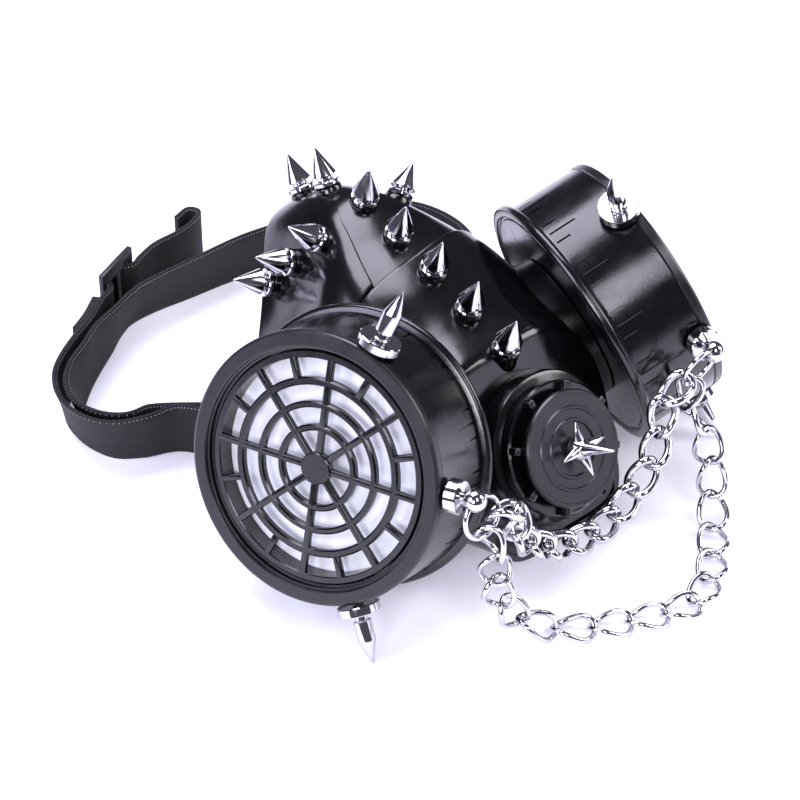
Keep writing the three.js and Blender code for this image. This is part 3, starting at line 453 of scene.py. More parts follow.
def rounded_path(points, shares, closed=False):
    """Centripetal Catmull-Rom through points, read at shares from 0 to 1."""
    pts = np.asarray(points, float)
    count = len(pts)
    out = []
    for share in shares:
        p = (count - (0 if closed else 1)) * share
        i = int(math.floor(p))
        w = p - i
        if not closed and i >= count - 1:
            i, w = count - 2, 1.0
        p1, p2 = pts[i % count], pts[(i + 1) % count]
        p0 = pts[(i - 1) % count] if closed or i > 0 else 2 * pts[0] - pts[1]
        p3 = pts[(i + 2) % count] if closed or i + 2 < count else 2 * pts[-1] - pts[-2]
        d0, d1, d2 = (max(np.linalg.norm(b - a), 1e-8) ** 0.5 for a, b in ((p0, p1), (p1, p2), (p2, p3)))
        t1 = ((p1 - p0) / d0 - (p2 - p0) / (d0 + d1) + (p2 - p1) / d1) * d1
        t2 = ((p2 - p1) / d1 - (p3 - p1) / (d1 + d2) + (p3 - p2) / d2) * d1
        out.append(p1 + t1 * w + (-3 * p1 + 3 * p2 - 2 * t1 - t2) * w ** 2
                   + (2 * p1 - 2 * p2 + t1 + t2) * w ** 3)
    return np.array(out)


def even_shares(points, count, divisions=200):
    """Shares of a rounded path that lie evenly along it, and its length."""
    line = rounded_path(points, np.linspace(0, 1, divisions + 1))
    run = np.concatenate([[0], np.cumsum(np.linalg.norm(np.diff(line, axis=0), axis=1))])
    return np.interp(np.linspace(0, run[-1], count + 1), run, np.linspace(0, 1, divisions + 1)), run[-1]


# Geometry Nodes trees for what repeats

def new_tree(name, sizes):
    """A Geometry Nodes tree with named inputs."""
    tree = bpy.data.node_groups.new(name, "GeometryNodeTree")
    tree.interface.new_socket("Geometry", in_out="INPUT", socket_type="NodeSocketGeometry")
    for size, kind in sizes.items():
        tree.interface.new_socket(size, in_out="INPUT", socket_type=kind)
    tree.interface.new_socket("Geometry", in_out="OUTPUT", socket_type="NodeSocketGeometry")
    return tree, add_node(tree, "NodeGroupInput").outputs


def close_tree(tree, instances, material):
    """Ends a tree in real geometry with its material."""
    real = add_node(tree, "GeometryNodeRealizeInstances", {"Geometry": instances})
    painted = add_node(tree, "GeometryNodeSetMaterial",
                       {"Geometry": real.outputs["Geometry"], "Material": material})
    add_node(tree, "NodeGroupOutput", {"Geometry": painted.outputs["Geometry"]})
    return tree


def curb_chain_tree(material):
    """Twisted oval links set out on points that hold each link's turn and stretch."""
    tree, size = new_tree("curb chain", {"Half Length": "NodeSocketFloat", "Half Width": "NodeSocketFloat",
                                         "Twist": "NodeSocketFloat", "Wire": "NodeSocketFloat"})
    ring = add_node(tree, "GeometryNodeCurvePrimitiveCircle", {"Resolution": 28, "Radius": 1.0})
    share = add_node(tree, "GeometryNodeSplineParameter").outputs["Factor"]
    angle = add_node(tree, "ShaderNodeMath", {0: share, 1: 2 * math.pi}, operation="MULTIPLY").outputs[0]
    double = add_node(tree, "ShaderNodeMath", {0: angle, 1: 2.0}, operation="MULTIPLY").outputs[0]

    def scaled(value, operation, by):
        wave = add_node(tree, "ShaderNodeMath", {0: value}, operation=operation).outputs[0]
        return add_node(tree, "ShaderNodeMath", {0: wave, 1: by}, operation="MULTIPLY").outputs[0]

    place = add_node(tree, "ShaderNodeCombineXYZ", {
        "X": scaled(angle, "COSINE", size["Half Length"]),
        "Y": scaled(angle, "SINE", size["Half Width"]),
        "Z": scaled(double, "SINE", size["Twist"])})
    line = add_node(tree, "GeometryNodeSetPosition", {
        "Geometry": ring.outputs["Curve"], "Position": place.outputs["Vector"]})
    half_wire = add_node(tree, "ShaderNodeMath", {0: size["Wire"], 1: 0.5}, operation="MULTIPLY")
    profile = add_node(tree, "GeometryNodeCurvePrimitiveCircle",
                       {"Resolution": 12, "Radius": half_wire.outputs[0]})
    link = add_node(tree, "GeometryNodeCurveToMesh", {
        "Curve": line.outputs["Geometry"], "Profile Curve": profile.outputs["Curve"]})
    smooth = add_node(tree, "GeometryNodeSetShadeSmooth", {"Geometry": link.outputs["Mesh"]})
    return close_tree(tree, set_out(tree, size["Geometry"], smooth.outputs["Geometry"]), material)


def set_out(tree, points, piece):
    """A piece on each point, by the point's turn and stretch."""
    turn = add_node(tree, "GeometryNodeInputNamedAttribute", {"Name": "turn"}, data_type="FLOAT_VECTOR")
    stretch = add_node(tree, "GeometryNodeInputNamedAttribute", {"Name": "stretch"}, data_type="FLOAT_VECTOR")
    rotation = add_node(tree, "FunctionNodeEulerToRotation", {"Euler": turn.outputs["Attribute"]})
    return add_node(tree, "GeometryNodeInstanceOnPoints", {
        "Points": points, "Instance": piece, "Rotation": rotation.outputs["Rotation"],
        "Scale": stretch.outputs["Attribute"]}).outputs["Instances"]


def copies_tree(material):
    """A piece set out on points that hold its turn and stretch."""
    tree, size = new_tree("set out copies", {"Piece": "NodeSocketObject"})
    piece = add_node(tree, "GeometryNodeObjectInfo", {"Object": size["Piece"]})
    return close_tree(tree, set_out(tree, size["Geometry"], piece.outputs["Geometry"]), material)


def round_tree(material):
    """A piece repeated round the Z axis."""
    tree, size = new_tree("repeat round the axis", {"Piece": "NodeSocketObject", "Count": "NodeSocketInt",
                                                    "Start": "NodeSocketFloat"})
    piece = add_node(tree, "GeometryNodeObjectInfo", {"Object": size["Piece"]})
    line = add_node(tree, "GeometryNodeMeshLine", {"Count": size["Count"], "Offset": (0, 0, 0)})
    index = add_node(tree, "GeometryNodeInputIndex").outputs["Index"]
    step = add_node(tree, "ShaderNodeMath", {0: 2 * math.pi, 1: size["Count"]}, operation="DIVIDE")
    angle = add_node(tree, "ShaderNodeMath", {0: index, 1: step.outputs[0], 2: size["Start"]},
                     operation="MULTIPLY_ADD")
    turn = add_node(tree, "ShaderNodeCombineXYZ", {"Z": angle.outputs[0]})
    rotation = add_node(tree, "FunctionNodeEulerToRotation", {"Euler": turn.outputs["Vector"]})
    copies = add_node(tree, "GeometryNodeInstanceOnPoints", {
        "Points": line.outputs["Mesh"], "Instance": piece.outputs["Geometry"],
        "Rotation": rotation.outputs["Rotation"]})
    return close_tree(tree, copies.outputs["Instances"], material)


def grown(obj, tree, sizes):
    """The object's mesh replaced with what the tree makes of it."""
    modifier = obj.modifiers.new(tree.name, "NODES")
    modifier.node_group = tree
    for item in tree.interface.items_tree:
        if item.in_out == "INPUT" and item.name in sizes:
            modifier[item.identifier] = sizes[item.name]
    return evaluated(obj)


def point_cloud(name, frames, stretches=None):
    """A mesh of bare points that hold a turn and a stretch each."""
    mesh = bpy.data.meshes.new(name)
    mesh.from_pydata([tuple(m.translation) for m in frames], [], [])
    turn = mesh.attributes.new("turn", "FLOAT_VECTOR", "POINT")
    stretch = mesh.attributes.new("stretch", "FLOAT_VECTOR", "POINT")
    for i, m in enumerate(frames):
        turn.data[i].vector = m.to_euler("XYZ")
        stretch.data[i].vector = stretches[i] if stretches else (1, 1, 1)
    obj = bpy.data.objects.new(name, mesh)
    bpy.context.scene.collection.objects.link(obj)
    return obj


# Frames shared by the pieces

FRONT_ALONG = Vector((0, FRONT_CREASE[0] - FRONT_FOOT[0], FRONT_CREASE[1] - FRONT_FOOT[1])).normalized()
VALVE_AXIS = -FRONT_ALONG.cross(X_AXIS)
VALVE_PLACE = Vector((0, *FRONT_FOOT)).lerp(Vector((0, *FRONT_CREASE)), VALVE_RISE)
VALVE_FRAME = aimed(VALVE_PLACE, VALVE_AXIS)


def canister_frame(side):
    rise, forward = math.radians(CANISTER_RISE), math.radians(CANISTER_FORWARD)
    axis = (side * math.cos(rise) * math.cos(forward), -math.cos(rise) * math.sin(forward), math.sin(rise))
    return aimed((side * CANISTER_OUT, 0, CANISTER_UP), axis, -Y_AXIS)


def stud_frame(side, turn):
    """A stud's frame on the canister wall, with +Z pointing away from the canister's axis."""
    angle = math.radians(-side * turn)
    out = Vector((math.cos(angle), math.sin(angle), 0))
    foot = out * DRUM_RADIUS + Vector((0, 0, CANISTER_DEPTH - STUD_SETBACK))
    return canister_frame(side) @ aimed(foot, out, Z_AXIS)


def tree_spike_frames():
    frames = {}
    for i, (y, z, lean) in enumerate(RIDGE_SPIKES):
        tilt = math.radians(lean)
        frames[f"ridge_spike_{i + 1}"] = aimed((0, y, z), (0, -math.sin(tilt), math.cos(tilt)))
    for side, word in ((1, "left"), (-1, "right")):
        for i, ((x, y, z), (out, back, up)) in enumerate(SIDE_SPIKES):
            frames[f"{word}_side_spike_{i + 1}"] = aimed((side * x, y, z), (side * out, back, up))
    return frames


def jump_ring_frame(side):
    lean = RING_LEANS[side]
    across = (X_AXIS - lean * lean.x).normalized()
    ball = stud_frame(side, RING_STUD_TURN) @ Vector((0, 0, BALL_REACH))
    matrix = Matrix((lean, across, lean.cross(across))).transposed().to_4x4()
    matrix.translation = ball + lean * JUMP_RADIUS
    return matrix, lean, across


# Facepiece

def face_rails(around=200, divisions=300):
    """The facepiece's loft as rails along it, each with its dense points."""
    rows = []
    for y, ridge, shoulder, middle, side, low, bottom in FACE_SECTIONS:
        right = [(p[0] * FACE_HALF_WIDTH, p[1] * FACE_HEIGHT) for p in (shoulder, middle, side, low)]
        left = [(-x, z) for x, z in reversed(right)]
        outline = [(0, ridge * FACE_HEIGHT), *right, (0, bottom * FACE_HEIGHT), *left]
        flat = rounded_path(outline, np.arange(around) / around, closed=True)
        rows.append(np.column_stack([flat[:, 0], np.full(around, FACE_FRONT + y * FACE_LENGTH), flat[:, 1]]))
    rows = np.array(rows)
    shares = np.linspace(0, 1, divisions)
    return [rounded_path(rows[:, i], shares) for i in range(around)]


def rail_points(rail, y):
    """Points of one rail at given y."""
    return np.column_stack([np.interp(y, rail[:, 1], rail[:, 0]), y, np.interp(y, rail[:, 1], rail[:, 2])])


def outward(grid):
    """Unit normals of a tube-like grid, pointing out."""
    run = np.gradient(grid, axis=0)
    turn = np.roll(grid, -1, axis=1) - np.roll(grid, 1, axis=1)
    normal = np.cross(turn, run)
    normal /= np.maximum(np.linalg.norm(normal, axis=2, keepdims=True), 1e-9)
    centre = grid.mean(axis=1, keepdims=True)
    return normal * np.sign(((grid - centre) * normal).sum(axis=2, keepdims=True))


def face_surface(rails):
    """The facepiece's outside, with rows of points along the step behind its raised front."""
    end = rails[0][-1, 1]
    columns, lifts = [], []
    step_y, step_lift = np.array(FRONT_STEP).T
    for rail in rails:
        past = (rail - np.array((0, *FRONT_FOOT))) @ np.array(VALVE_AXIS) - 2 * FRONT_SOFT
        behind = max(1, int(np.argmax(past < 0)))
        start = np.interp(0, [past[behind], past[behind - 1]], [rail[behind, 1], rail[behind - 1, 1]])
        edge = np.interp(np.interp(EDGE_LOOKUP, rail[:, 1], rail[:, 0]), *zip(*FRONT_EDGE))
        y = np.concatenate([np.linspace(start, edge - STEP_AHEAD, ROWS_AHEAD), edge + step_y,
                            np.linspace(edge + STEP_BEHIND, end, ROWS_BEHIND)])
        columns.append(rail_points(rail, y))
        lifts.append(np.interp(y - edge, step_y, step_lift))
    grid = np.array(columns).transpose(1, 0, 2)
    lift = FRONT_LIFT * np.array(lifts).T
    grid = grid + outward(grid) * lift[..., None]
    ahead = (grid - np.array((0, *FRONT_FOOT))) @ np.array(VALVE_AXIS)
    held = -FRONT_SOFT * np.logaddexp(0, -ahead / FRONT_SOFT)
    return grid + (held - ahead)[..., None] * np.array(VALVE_AXIS)


def tongue_plate(rails):
    """The raised tongue on the ridge as a plate that follows the facepiece."""
    across = np.array([-1, -1, -0.985, *np.linspace(-0.95, 0.95, 39), 0.985, 1, 1])
    level = np.array([-1.2, 0.7 * TONGUE_LIFT, *[TONGUE_LIFT] * (len(across) - 4), 0.7 * TONGUE_LIFT, -1.2])
    top = [rail for rail in rails if rail[len(rail) // 2, 2] > 0.62 * FACE_HEIGHT]
    rows = []
    for y in np.linspace(TONGUE[0][0], TONGUE[-1][0], 60):
        half = max(np.interp(y, *zip(*TONGUE)), 0.3)
        spots = np.array(sorted((rail_points(rail, np.array([y]))[0] for rail in top),
                                key=lambda spot: spot[0]))
        x = across * half
        z = np.interp(x, spots[:, 0], spots[:, 2])
        slope = np.gradient(np.interp(np.linspace(-half, half, 41), spots[:, 0], spots[:, 2]), 2 * half / 40)
        tilt = np.interp(x, np.linspace(-half, half, 41), slope)
        lean = np.hypot(tilt, 1)
        rows.append(np.column_stack([x - tilt / lean * level, np.full(len(x), y), z + level / lean]))
    points = np.concatenate(rows)
    size = len(across)
    faces = [(s * size + i, s * size + (i + 1) % size, (s + 1) * size + (i + 1) % size, (s + 1) * size + i)
             for s in range(len(rows) - 1) for i in range(size)]
    faces += [tuple(range(size)), tuple(range((len(rows) - 1) * size, len(rows) * size))]
    return crisp(recalculated(mesh_object("tongue", points, faces, VINYL)), 40)


def grid_mesh(name, grid, material):
    """A tube-like grid of points closed at both ends."""
    along, around = grid.shape[:2]
    points = list(grid.reshape(-1, 3))
    faces = [(s * around + i, s * around + (i + 1) % around, (s + 1) * around + (i + 1) % around,
              (s + 1) * around + i) for s in range(along - 1) for i in range(around)]
    for row in (0, along - 1):
        hub = len(points)
        points.append(grid[row].mean(axis=0))
        faces += [(row * around + i, row * around + (i + 1) % around, hub) for i in range(around)]
    return recalculated(mesh_object(name, points, faces, material))


def sliced(obj, place, away):
    """The object with what lies beyond a plane cut off and the cut left open."""
    bm = bmesh.new()
    bm.from_mesh(obj.data)
    bmesh.ops.bisect_plane(bm, geom=bm.verts[:] + bm.edges[:] + bm.faces[:], plane_co=Vector(place),
                           plane_no=Vector(away), clear_outer=True)
    bm.to_mesh(obj.data)
    bm.free()
    return obj


def facepiece():
    """The soft shell: a moulded skin cut at the seal and given its wall, with its necks, tongue and posts."""
    rails = face_rails()
    skin = grid_mesh("facepiece_skin", face_surface(rails), VINYL)
    seal = Vector((0, SEAL_TOP[0] - SEAL_FOOT[0], SEAL_TOP[1] - SEAL_FOOT[1])).normalized()
    sliced(skin, (0, *SEAL_FOOT), seal.cross(X_AXIS) if seal.cross(X_AXIS).y > 0 else -seal.cross(X_AXIS))
    wall = skin.modifiers.new("wall", "SOLIDIFY")
    wall.thickness = FACE_WALL
    wall.offset = -1
    wall.use_even_offset = False
    evaluated(skin)
    bores = [moved(lathe("bore", [(0, -3 * NECK_ROOT), (NECK_BORE, -3 * NECK_ROOT), (NECK_BORE, 0), (0, 0)],
                         VINYL, 48),
                   canister_frame(side)) for side in (1, -1)]
    without(skin, merged("bores", bores))
    skin.data.shade_smooth()
    crisp(skin, 40)
    parts = [skin, tongue_plate(rails)]
    for side in (1, -1):
        neck = lathe("neck", [
            (NECK_BORE, -NECK_ROOT), (NECK_ROOT_RADIUS, -NECK_ROOT),
            (NECK_ROOT_RADIUS - 1.6, -0.6 * NECK_ROOT),
            (NECK_RADIUS + 0.2, -0.25 * NECK_ROOT), (NECK_RADIUS, -SEAT_GAP), (NECK_BORE, -SEAT_GAP)],
            VINYL, 128, closed=True)
        parts.append(moved(neck, canister_frame(side)))
    for matrix in tree_spike_frames().values():
        foot = -POST_HEIGHT - POST_ROOT
        post = lathe("post", [
            (0, foot), (POST_RADIUS + 0.5, foot), (POST_RADIUS + 0.1, -POST_HEIGHT + 1.2),
            (POST_RADIUS, -0.7),
            (POST_RADIUS - 0.2, -0.2), (POST_RADIUS - 0.7, 0), (0, 0)], VINYL, 40)
        parts.append(moved(post, matrix))
    return dressed(merged("facepiece", parts), "vinyl_black", "facepiece_shell")


def strap_tabs():
    """Slotted tabs on the cheeks that hold the strap."""
    tabs = []
    along = Vector((TAB_END[0] - TAB_START[0], TAB_END[1] - TAB_START[1], 0))
    length = along.length
    place = Matrix.Translation((*TAB_START, 0)) @ Matrix.Rotation(math.atan2(along.y, along.x), 4, "Z")
    for side in (1, -1):
        plate = box_object("tab", (0, -TAB_THICKNESS / 2, 0.2), (length, TAB_THICKNESS / 2, TAB_HEIGHT),
                           VINYL)
        slot_end = length - TAB_BAR
        slot = box_object("slot", (slot_end - TAB_SLOT, -TAB_THICKNESS, TAB_ARM),
                          (slot_end, TAB_THICKNESS, TAB_HEIGHT - TAB_ARM), VINYL)
        tab = rounded(without(plate, slot), 0.5)
        moved(tab, Matrix.Diagonal((side, 1, 1, 1)) @ place)
        tabs.append(recalculated(tab))
    return dressed(merged("strap_tabs", tabs), "vinyl_black")


# Spikes

def tree_spikes():
    """Waisted screw-on spikes on the posts."""
    spike = lathe("tree spike", [
        (0, SEAT_GAP), (4.2, SEAT_GAP), (4.5, 0.6), (4.5, 1.6), (4.25, 1.9), (3.0, 2.0), (2.6, 2.3),
        (2.6, 3.0),
        (3.6, 3.3), (4.2, 3.5), (4.3, 3.8), (4.15, 4.2), (0.45, 12.3), (0.2, 12.7), (0, 12.8)], CHROME, 40,
        degrees=28)
    frames = tree_spike_frames()
    for name, nodes in (("ridge_spikes", [n for n in frames if n.startswith("ridge")]),
                        ("side_spikes", [n for n in frames if "side" in n])):
        cloud = point_cloud(name, [frames[n] for n in nodes])
        grown(cloud, copies_tree(CHROME), {"Piece": spike})
        dressed(cloud, "chrome", *nodes)
    bpy.data.objects.remove(spike)


def bullet_spikes():
    """Bullet spikes on washers, an upper and a lower one on each canister."""
    foot = PAD_HEIGHT + SEAT_GAP
    top = foot + BULLET_WASHER
    bullet = lathe("bullet spike", [
        (0, foot), (6.3, foot), (6.6, foot + 0.3), (6.6, top - 0.3), (6.3, top), (2.4, top + 0.1),
        (2.0, top + 0.4),
        (2.0, top + 1.9), (2.5, top + 2.1), (2.8, top + 2.4), (2.8, BULLET_REACH - BULLET_POINT),
        (2.7, BULLET_REACH - BULLET_POINT + 0.5), (0.4, BULLET_REACH - 0.5), (0.15, BULLET_REACH - 0.1),
        (0, BULLET_REACH)], CHROME, 48, degrees=28)
    places = {"left_upper_spike": (1, UPPER_SPIKE_TURN), "left_lower_spike": (1, LOWER_SPIKE_TURN),
              "right_upper_spike": (-1, UPPER_SPIKE_TURN), "right_lower_spike": (-1, LOWER_SPIKE_TURN)}
    cloud = point_cloud("bullet_spikes", [stud_frame(*place) for place in places.values()])
    grown(cloud, copies_tree(CHROME), {"Piece": bullet})
    bpy.data.objects.remove(bullet)
    dressed(cloud, "chrome", *places)


def torus(name, radius, wire, material, around=64, sides=20):
    points = [((radius + wire * math.cos(b)) * math.cos(a), (radius + wire * math.cos(b)) * math.sin(a),
               wire * math.sin(b))
              for a in np.linspace(0, 2 * math.pi, around, endpoint=False)
              for b in np.linspace(0, 2 * math.pi, sides, endpoint=False)]
    faces = [(i * sides + j, i * sides + (j + 1) % sides, (i + 1) % around * sides + (j + 1) % sides,
              (i + 1) % around * sides + j) for i in range(around) for j in range(sides)]
    return recalculated(mesh_object(name, points, faces, material))


def ring_studs():
    """Studs whose drilled balls carry the jump rings."""
    foot = PAD_HEIGHT + SEAT_GAP
    for side, word in ((1, "left"), (-1, "right")):
        top = [(BALL_RADIUS * math.cos(a), BALL_REACH + BALL_RADIUS * math.sin(a))
               for a in np.linspace(math.radians(-56), math.radians(85), 16)]
        stud = lathe(f"{word}_ring_stud", [
            (0, foot), (4.9, foot), (5.2, foot + 0.3), (5.2, foot + 3.7), (4.9, foot + 4.0),
            (2.2, foot + 4.05),
            (1.9, foot + 4.2), *top, (0, BALL_REACH + BALL_RADIUS)], CHROME, 48)
        moved(stud, stud_frame(side, RING_STUD_TURN))
        matrix = jump_ring_frame(side)[0]
        channel = moved(torus("channel", JUMP_RADIUS, JUMP_WIRE / 2 + JUMP_HOLE_GAP, CHROME), matrix)
        without(stud, channel)
        stud.data.shade_smooth()
        dressed(crisp(stud), "chrome", f"{word}_ring_stud")
        ring = moved(torus(f"{word}_jump_ring", JUMP_RADIUS, JUMP_WIRE / 2, CHROME), matrix)
        dressed(ring, "chrome", f"{word}_jump_ring")


# Chains

def chain_hook(side, degrees, wire):
    """Where a chain's end joint lies on a jump ring, the way out from it, and the way the wire runs there."""
    matrix, lean, across = jump_ring_frame(side)
    angle = -side * math.radians(degrees)
    radial = lean * math.cos(angle) + across * math.sin(angle)
    inset = (wire + JUMP_WIRE) / 2 + HOOK_GAP - CONTACT_SHARE * wire / 2
    facing = -lean * math.sin(angle) + across * math.cos(angle)
    return matrix.translation + radial * (JUMP_RADIUS - inset), radial, facing


def chain(name, size, route):
    """A curb chain between the jump rings, link by link."""
    starts = [chain_hook(side, size["hook"][side], size["wire"]) for side in (-1, 1)]
    (from_place, from_out, from_facing), (to_place, to_out, to_facing) = starts
    places = [from_place, from_place + from_out * size["pitch"], *[row[:3] for row in route],
              to_place + to_out * size["pitch"], to_place]
    turns = [Vector(row[3:]).normalized() for row in route]
    facings = [from_facing, from_facing, *turns, to_facing, to_facing]
    length = even_shares(places, 1)[1]
    count = round(length / size["pitch"])
    joints = rounded_path(places, even_shares(places, count)[0])
    steps = even_shares(places, 2 * count)[0]
    half_length = (length / count + CONTACT_SHARE * size["wire"]) / 2
    frames, stretches = [], []
    for i in range(count):
        start, end = Vector(joints[i]), Vector(joints[i + 1])
        share = 0.0 if i == 0 else 1.0 if i == count - 1 else steps[2 * i + 1]
        out = Vector(rounded_path(facings, [share])[0])
        x = (end - start).normalized()
        z = (out - x * out.dot(x)).normalized()
        matrix = Matrix((x, z.cross(x), z)).transposed().to_4x4()
        matrix.translation = (start + end) / 2
        frames.append(matrix)
        stretches.append((((end - start).length + CONTACT_SHARE * size["wire"]) / 2 / half_length, 1, 1))
    cloud = point_cloud(name + "_links", frames, stretches)
    grown(cloud, curb_chain_tree(CHROME), {
        "Half Length": half_length, "Half Width": size["half_width"], "Twist": size["twist"],
        "Wire": size["wire"]})
    dressed(cloud, "chrome", name)


# Canisters

def wall_ripple(angle, height, radius):
    """Slight unevenness of the moulded drum wall."""
    if radius < DRUM_RADIUS - 0.5 or radius > DRUM_RADIUS + 0.5:
        return 0
    return 0.16 * noise.noise(Vector((4.2 * math.cos(angle), 4.2 * math.sin(angle), height * 0.05)))


def canisters():
    drum_top = CANISTER_DEPTH - BEZEL_HEIGHT - SEAT_GAP
    inner = DRUM_RADIUS - DRUM_WALL
    sleeve_foot = CANISTER_DEPTH - SLEEVE_DEPTH
    filter_top = sleeve_foot - SEAT_GAP
    bezel_foot = drum_top + SEAT_GAP
    bar_top = CANISTER_DEPTH - GRILLE_RECESS
    bar_foot = bar_top - BAR_HEIGHT
    rim_outer = BEZEL_OPENING - SEAT_GAP
    rim_inner = rim_outer - RIM_WIDTH
    for side, word in ((1, "left"), (-1, "right")):
        matrix = canister_frame(side)
        seam = bezel_foot - 0.06
        wall = [(DRUM_RADIUS, h) for h in np.linspace(LIP_THICKNESS + 1.6, seam - 0.2, 12)]
        drum = lathe("drum", [
            (0, 0.25), (38.6, 0.25), (39.4, 0.4), (39.7, 1.0), (40.2, 1.0), (40.5, 0.4), (41.2, 0),
            (42.6, 0), (43.5, 0.3),
            (LIP_RADIUS, 1.1), (LIP_RADIUS, 1.8), (43.6, 2.6), (42.9, LIP_THICKNESS),
            (DRUM_RADIUS + 0.1, LIP_THICKNESS + 0.2), (DRUM_RADIUS, LIP_THICKNESS + 0.6), *wall,
            (DRUM_RADIUS - 0.15, seam), (inner, seam), (inner, DRUM_FLOOR), (0, DRUM_FLOOR)],
            CANISTER_ABS, 240, ripple=wall_ripple)
        without(drum, wall_ticks())
        drum.data.shade_smooth()
        crisp(drum)
        pads = []
        for turn in (RING_STUD_TURN, UPPER_SPIKE_TURN, LOWER_SPIKE_TURN):
            pad = lathe("pad", [(0, -DRUM_WALL / 2), (PAD_RADIUS, -DRUM_WALL / 2), (PAD_RADIUS, PAD_HEIGHT),
                                (0, PAD_HEIGHT)], CANISTER_ABS, 24)
            pads.append(moved(pad, stud_frame(side, turn)))
        whole = merged(f"{word}_drum", [moved(drum, matrix), *pads])
        dressed(whole, "canister_black", f"{word}_canister_drum")

        bezel = lathe(f"{word}_bezel", [
            (BEZEL_OPENING, sleeve_foot), (BEZEL_OPENING + SLEEVE_WALL, sleeve_foot),
            (BEZEL_OPENING + SLEEVE_WALL, bezel_foot), (BEZEL_RADIUS - 0.4, bezel_foot),
            (BEZEL_RADIUS, bezel_foot + 0.4),
            (BEZEL_RADIUS, CANISTER_DEPTH - 1.0), (BEZEL_RADIUS - 0.3, CANISTER_DEPTH - 0.35),
            (BEZEL_RADIUS - 0.9, CANISTER_DEPTH), (BEZEL_OPENING + 1.9, CANISTER_DEPTH),
            (BEZEL_OPENING + 1.5, CANISTER_DEPTH - 0.35), (BEZEL_OPENING + 1.4, CANISTER_DEPTH - 1.0),
            (BEZEL_OPENING + 0.8, CANISTER_DEPTH - 1.1), (BEZEL_OPENING + 0.7, CANISTER_DEPTH - 2.6),
            (BEZEL_OPENING + 0.1, CANISTER_DEPTH - 2.7), (BEZEL_OPENING, CANISTER_DEPTH - 3.2)],
            BEZEL_ABS, 192, closed=True, degrees=18)
        dressed(moved(bezel, matrix), "canister_black", f"{word}_canister_bezel")

        felt = lathe(f"{word}_filter", [
            (0, filter_top - FILTER_THICKNESS), (inner - SEAT_GAP, filter_top - FILTER_THICKNESS),
            (inner - SEAT_GAP, filter_top), (0, filter_top)], FELT, 96)
        dressed(moved(felt, matrix), "filter_white", f"{word}_filter_disc")

        rings = [lathe("rim", [
            (rim_inner, filter_top + SEAT_GAP), (rim_outer, filter_top + SEAT_GAP),
            (rim_outer, bar_top - 0.3),
            (rim_outer - 0.3, bar_top), (rim_inner + 0.3, bar_top), (rim_inner, bar_top - 0.3)],
            CANISTER_ABS, 144, closed=True)]
        for outer, width in GRILLE_RINGS:
            rings.append(lathe("ring", [
                (outer - width, bar_foot), (outer, bar_foot), (outer, bar_top - 0.5), (outer - 0.5, bar_top),
                (outer - width + 0.5, bar_top), (outer - width, bar_top - 0.5)], CANISTER_ABS, 128,
                closed=True))
        rings.append(lathe("hub", [
            (0, bar_foot), (HUB_RADIUS, bar_foot), (HUB_RADIUS, bar_top + HUB_RISE - 0.3),
            (HUB_RADIUS - 0.3, bar_top + HUB_RISE), (0, bar_top + HUB_RISE)], CANISTER_ABS, 48))
        last_outer, last_width = GRILLE_RINGS[-1]
        half = SPOKE_WIDTH / 2
        for start, end, turn in ((HUB_RADIUS / 2, rim_inner + RIM_WIDTH / 2, 0),
                                 (last_outer - last_width / 2, rim_inner + RIM_WIDTH / 2, math.pi / SPOKES)):
            bar = box_object("spoke", (start, -half, bar_foot), (end, half, bar_top - 0.05), CANISTER_ABS,
                             0.4)
            spokes = mesh_object("spokes", [(0, 0, 0)], [], CANISTER_ABS)
            grown(spokes, round_tree(CANISTER_ABS), {
                "Piece": bar, "Count": SPOKES, "Start": math.radians(GRILLE_TURN) + turn})
            bpy.data.objects.remove(bar)
            rings.append(spokes)
        grille = moved(merged(f"{word}_grille_bars", rings), matrix)
        dressed(grille, "canister_black", f"{word}_grille")


def wall_ticks():
    """Cutters for the plain tick grooves in front of the rear lip: short, long, short, all the way round."""
    bars = []
    foot = LIP_THICKNESS + 1.2
    for offset, length in TICKS:
        bar = box_object("tick", (DRUM_RADIUS - 0.5, -0.4, foot), (DRUM_RADIUS + 1.5, 0.4, foot + length),
                         CANISTER_ABS)
        ticks = mesh_object("ticks", [(0, 0, 0)], [], CANISTER_ABS)
        grown(ticks, round_tree(CANISTER_ABS),
              {"Piece": bar, "Count": TICK_GROUPS, "Start": math.radians(offset + TICK_START)})
        bpy.data.objects.remove(bar)
        bars.append(ticks)
    return merged("ticks", bars)


# Valve

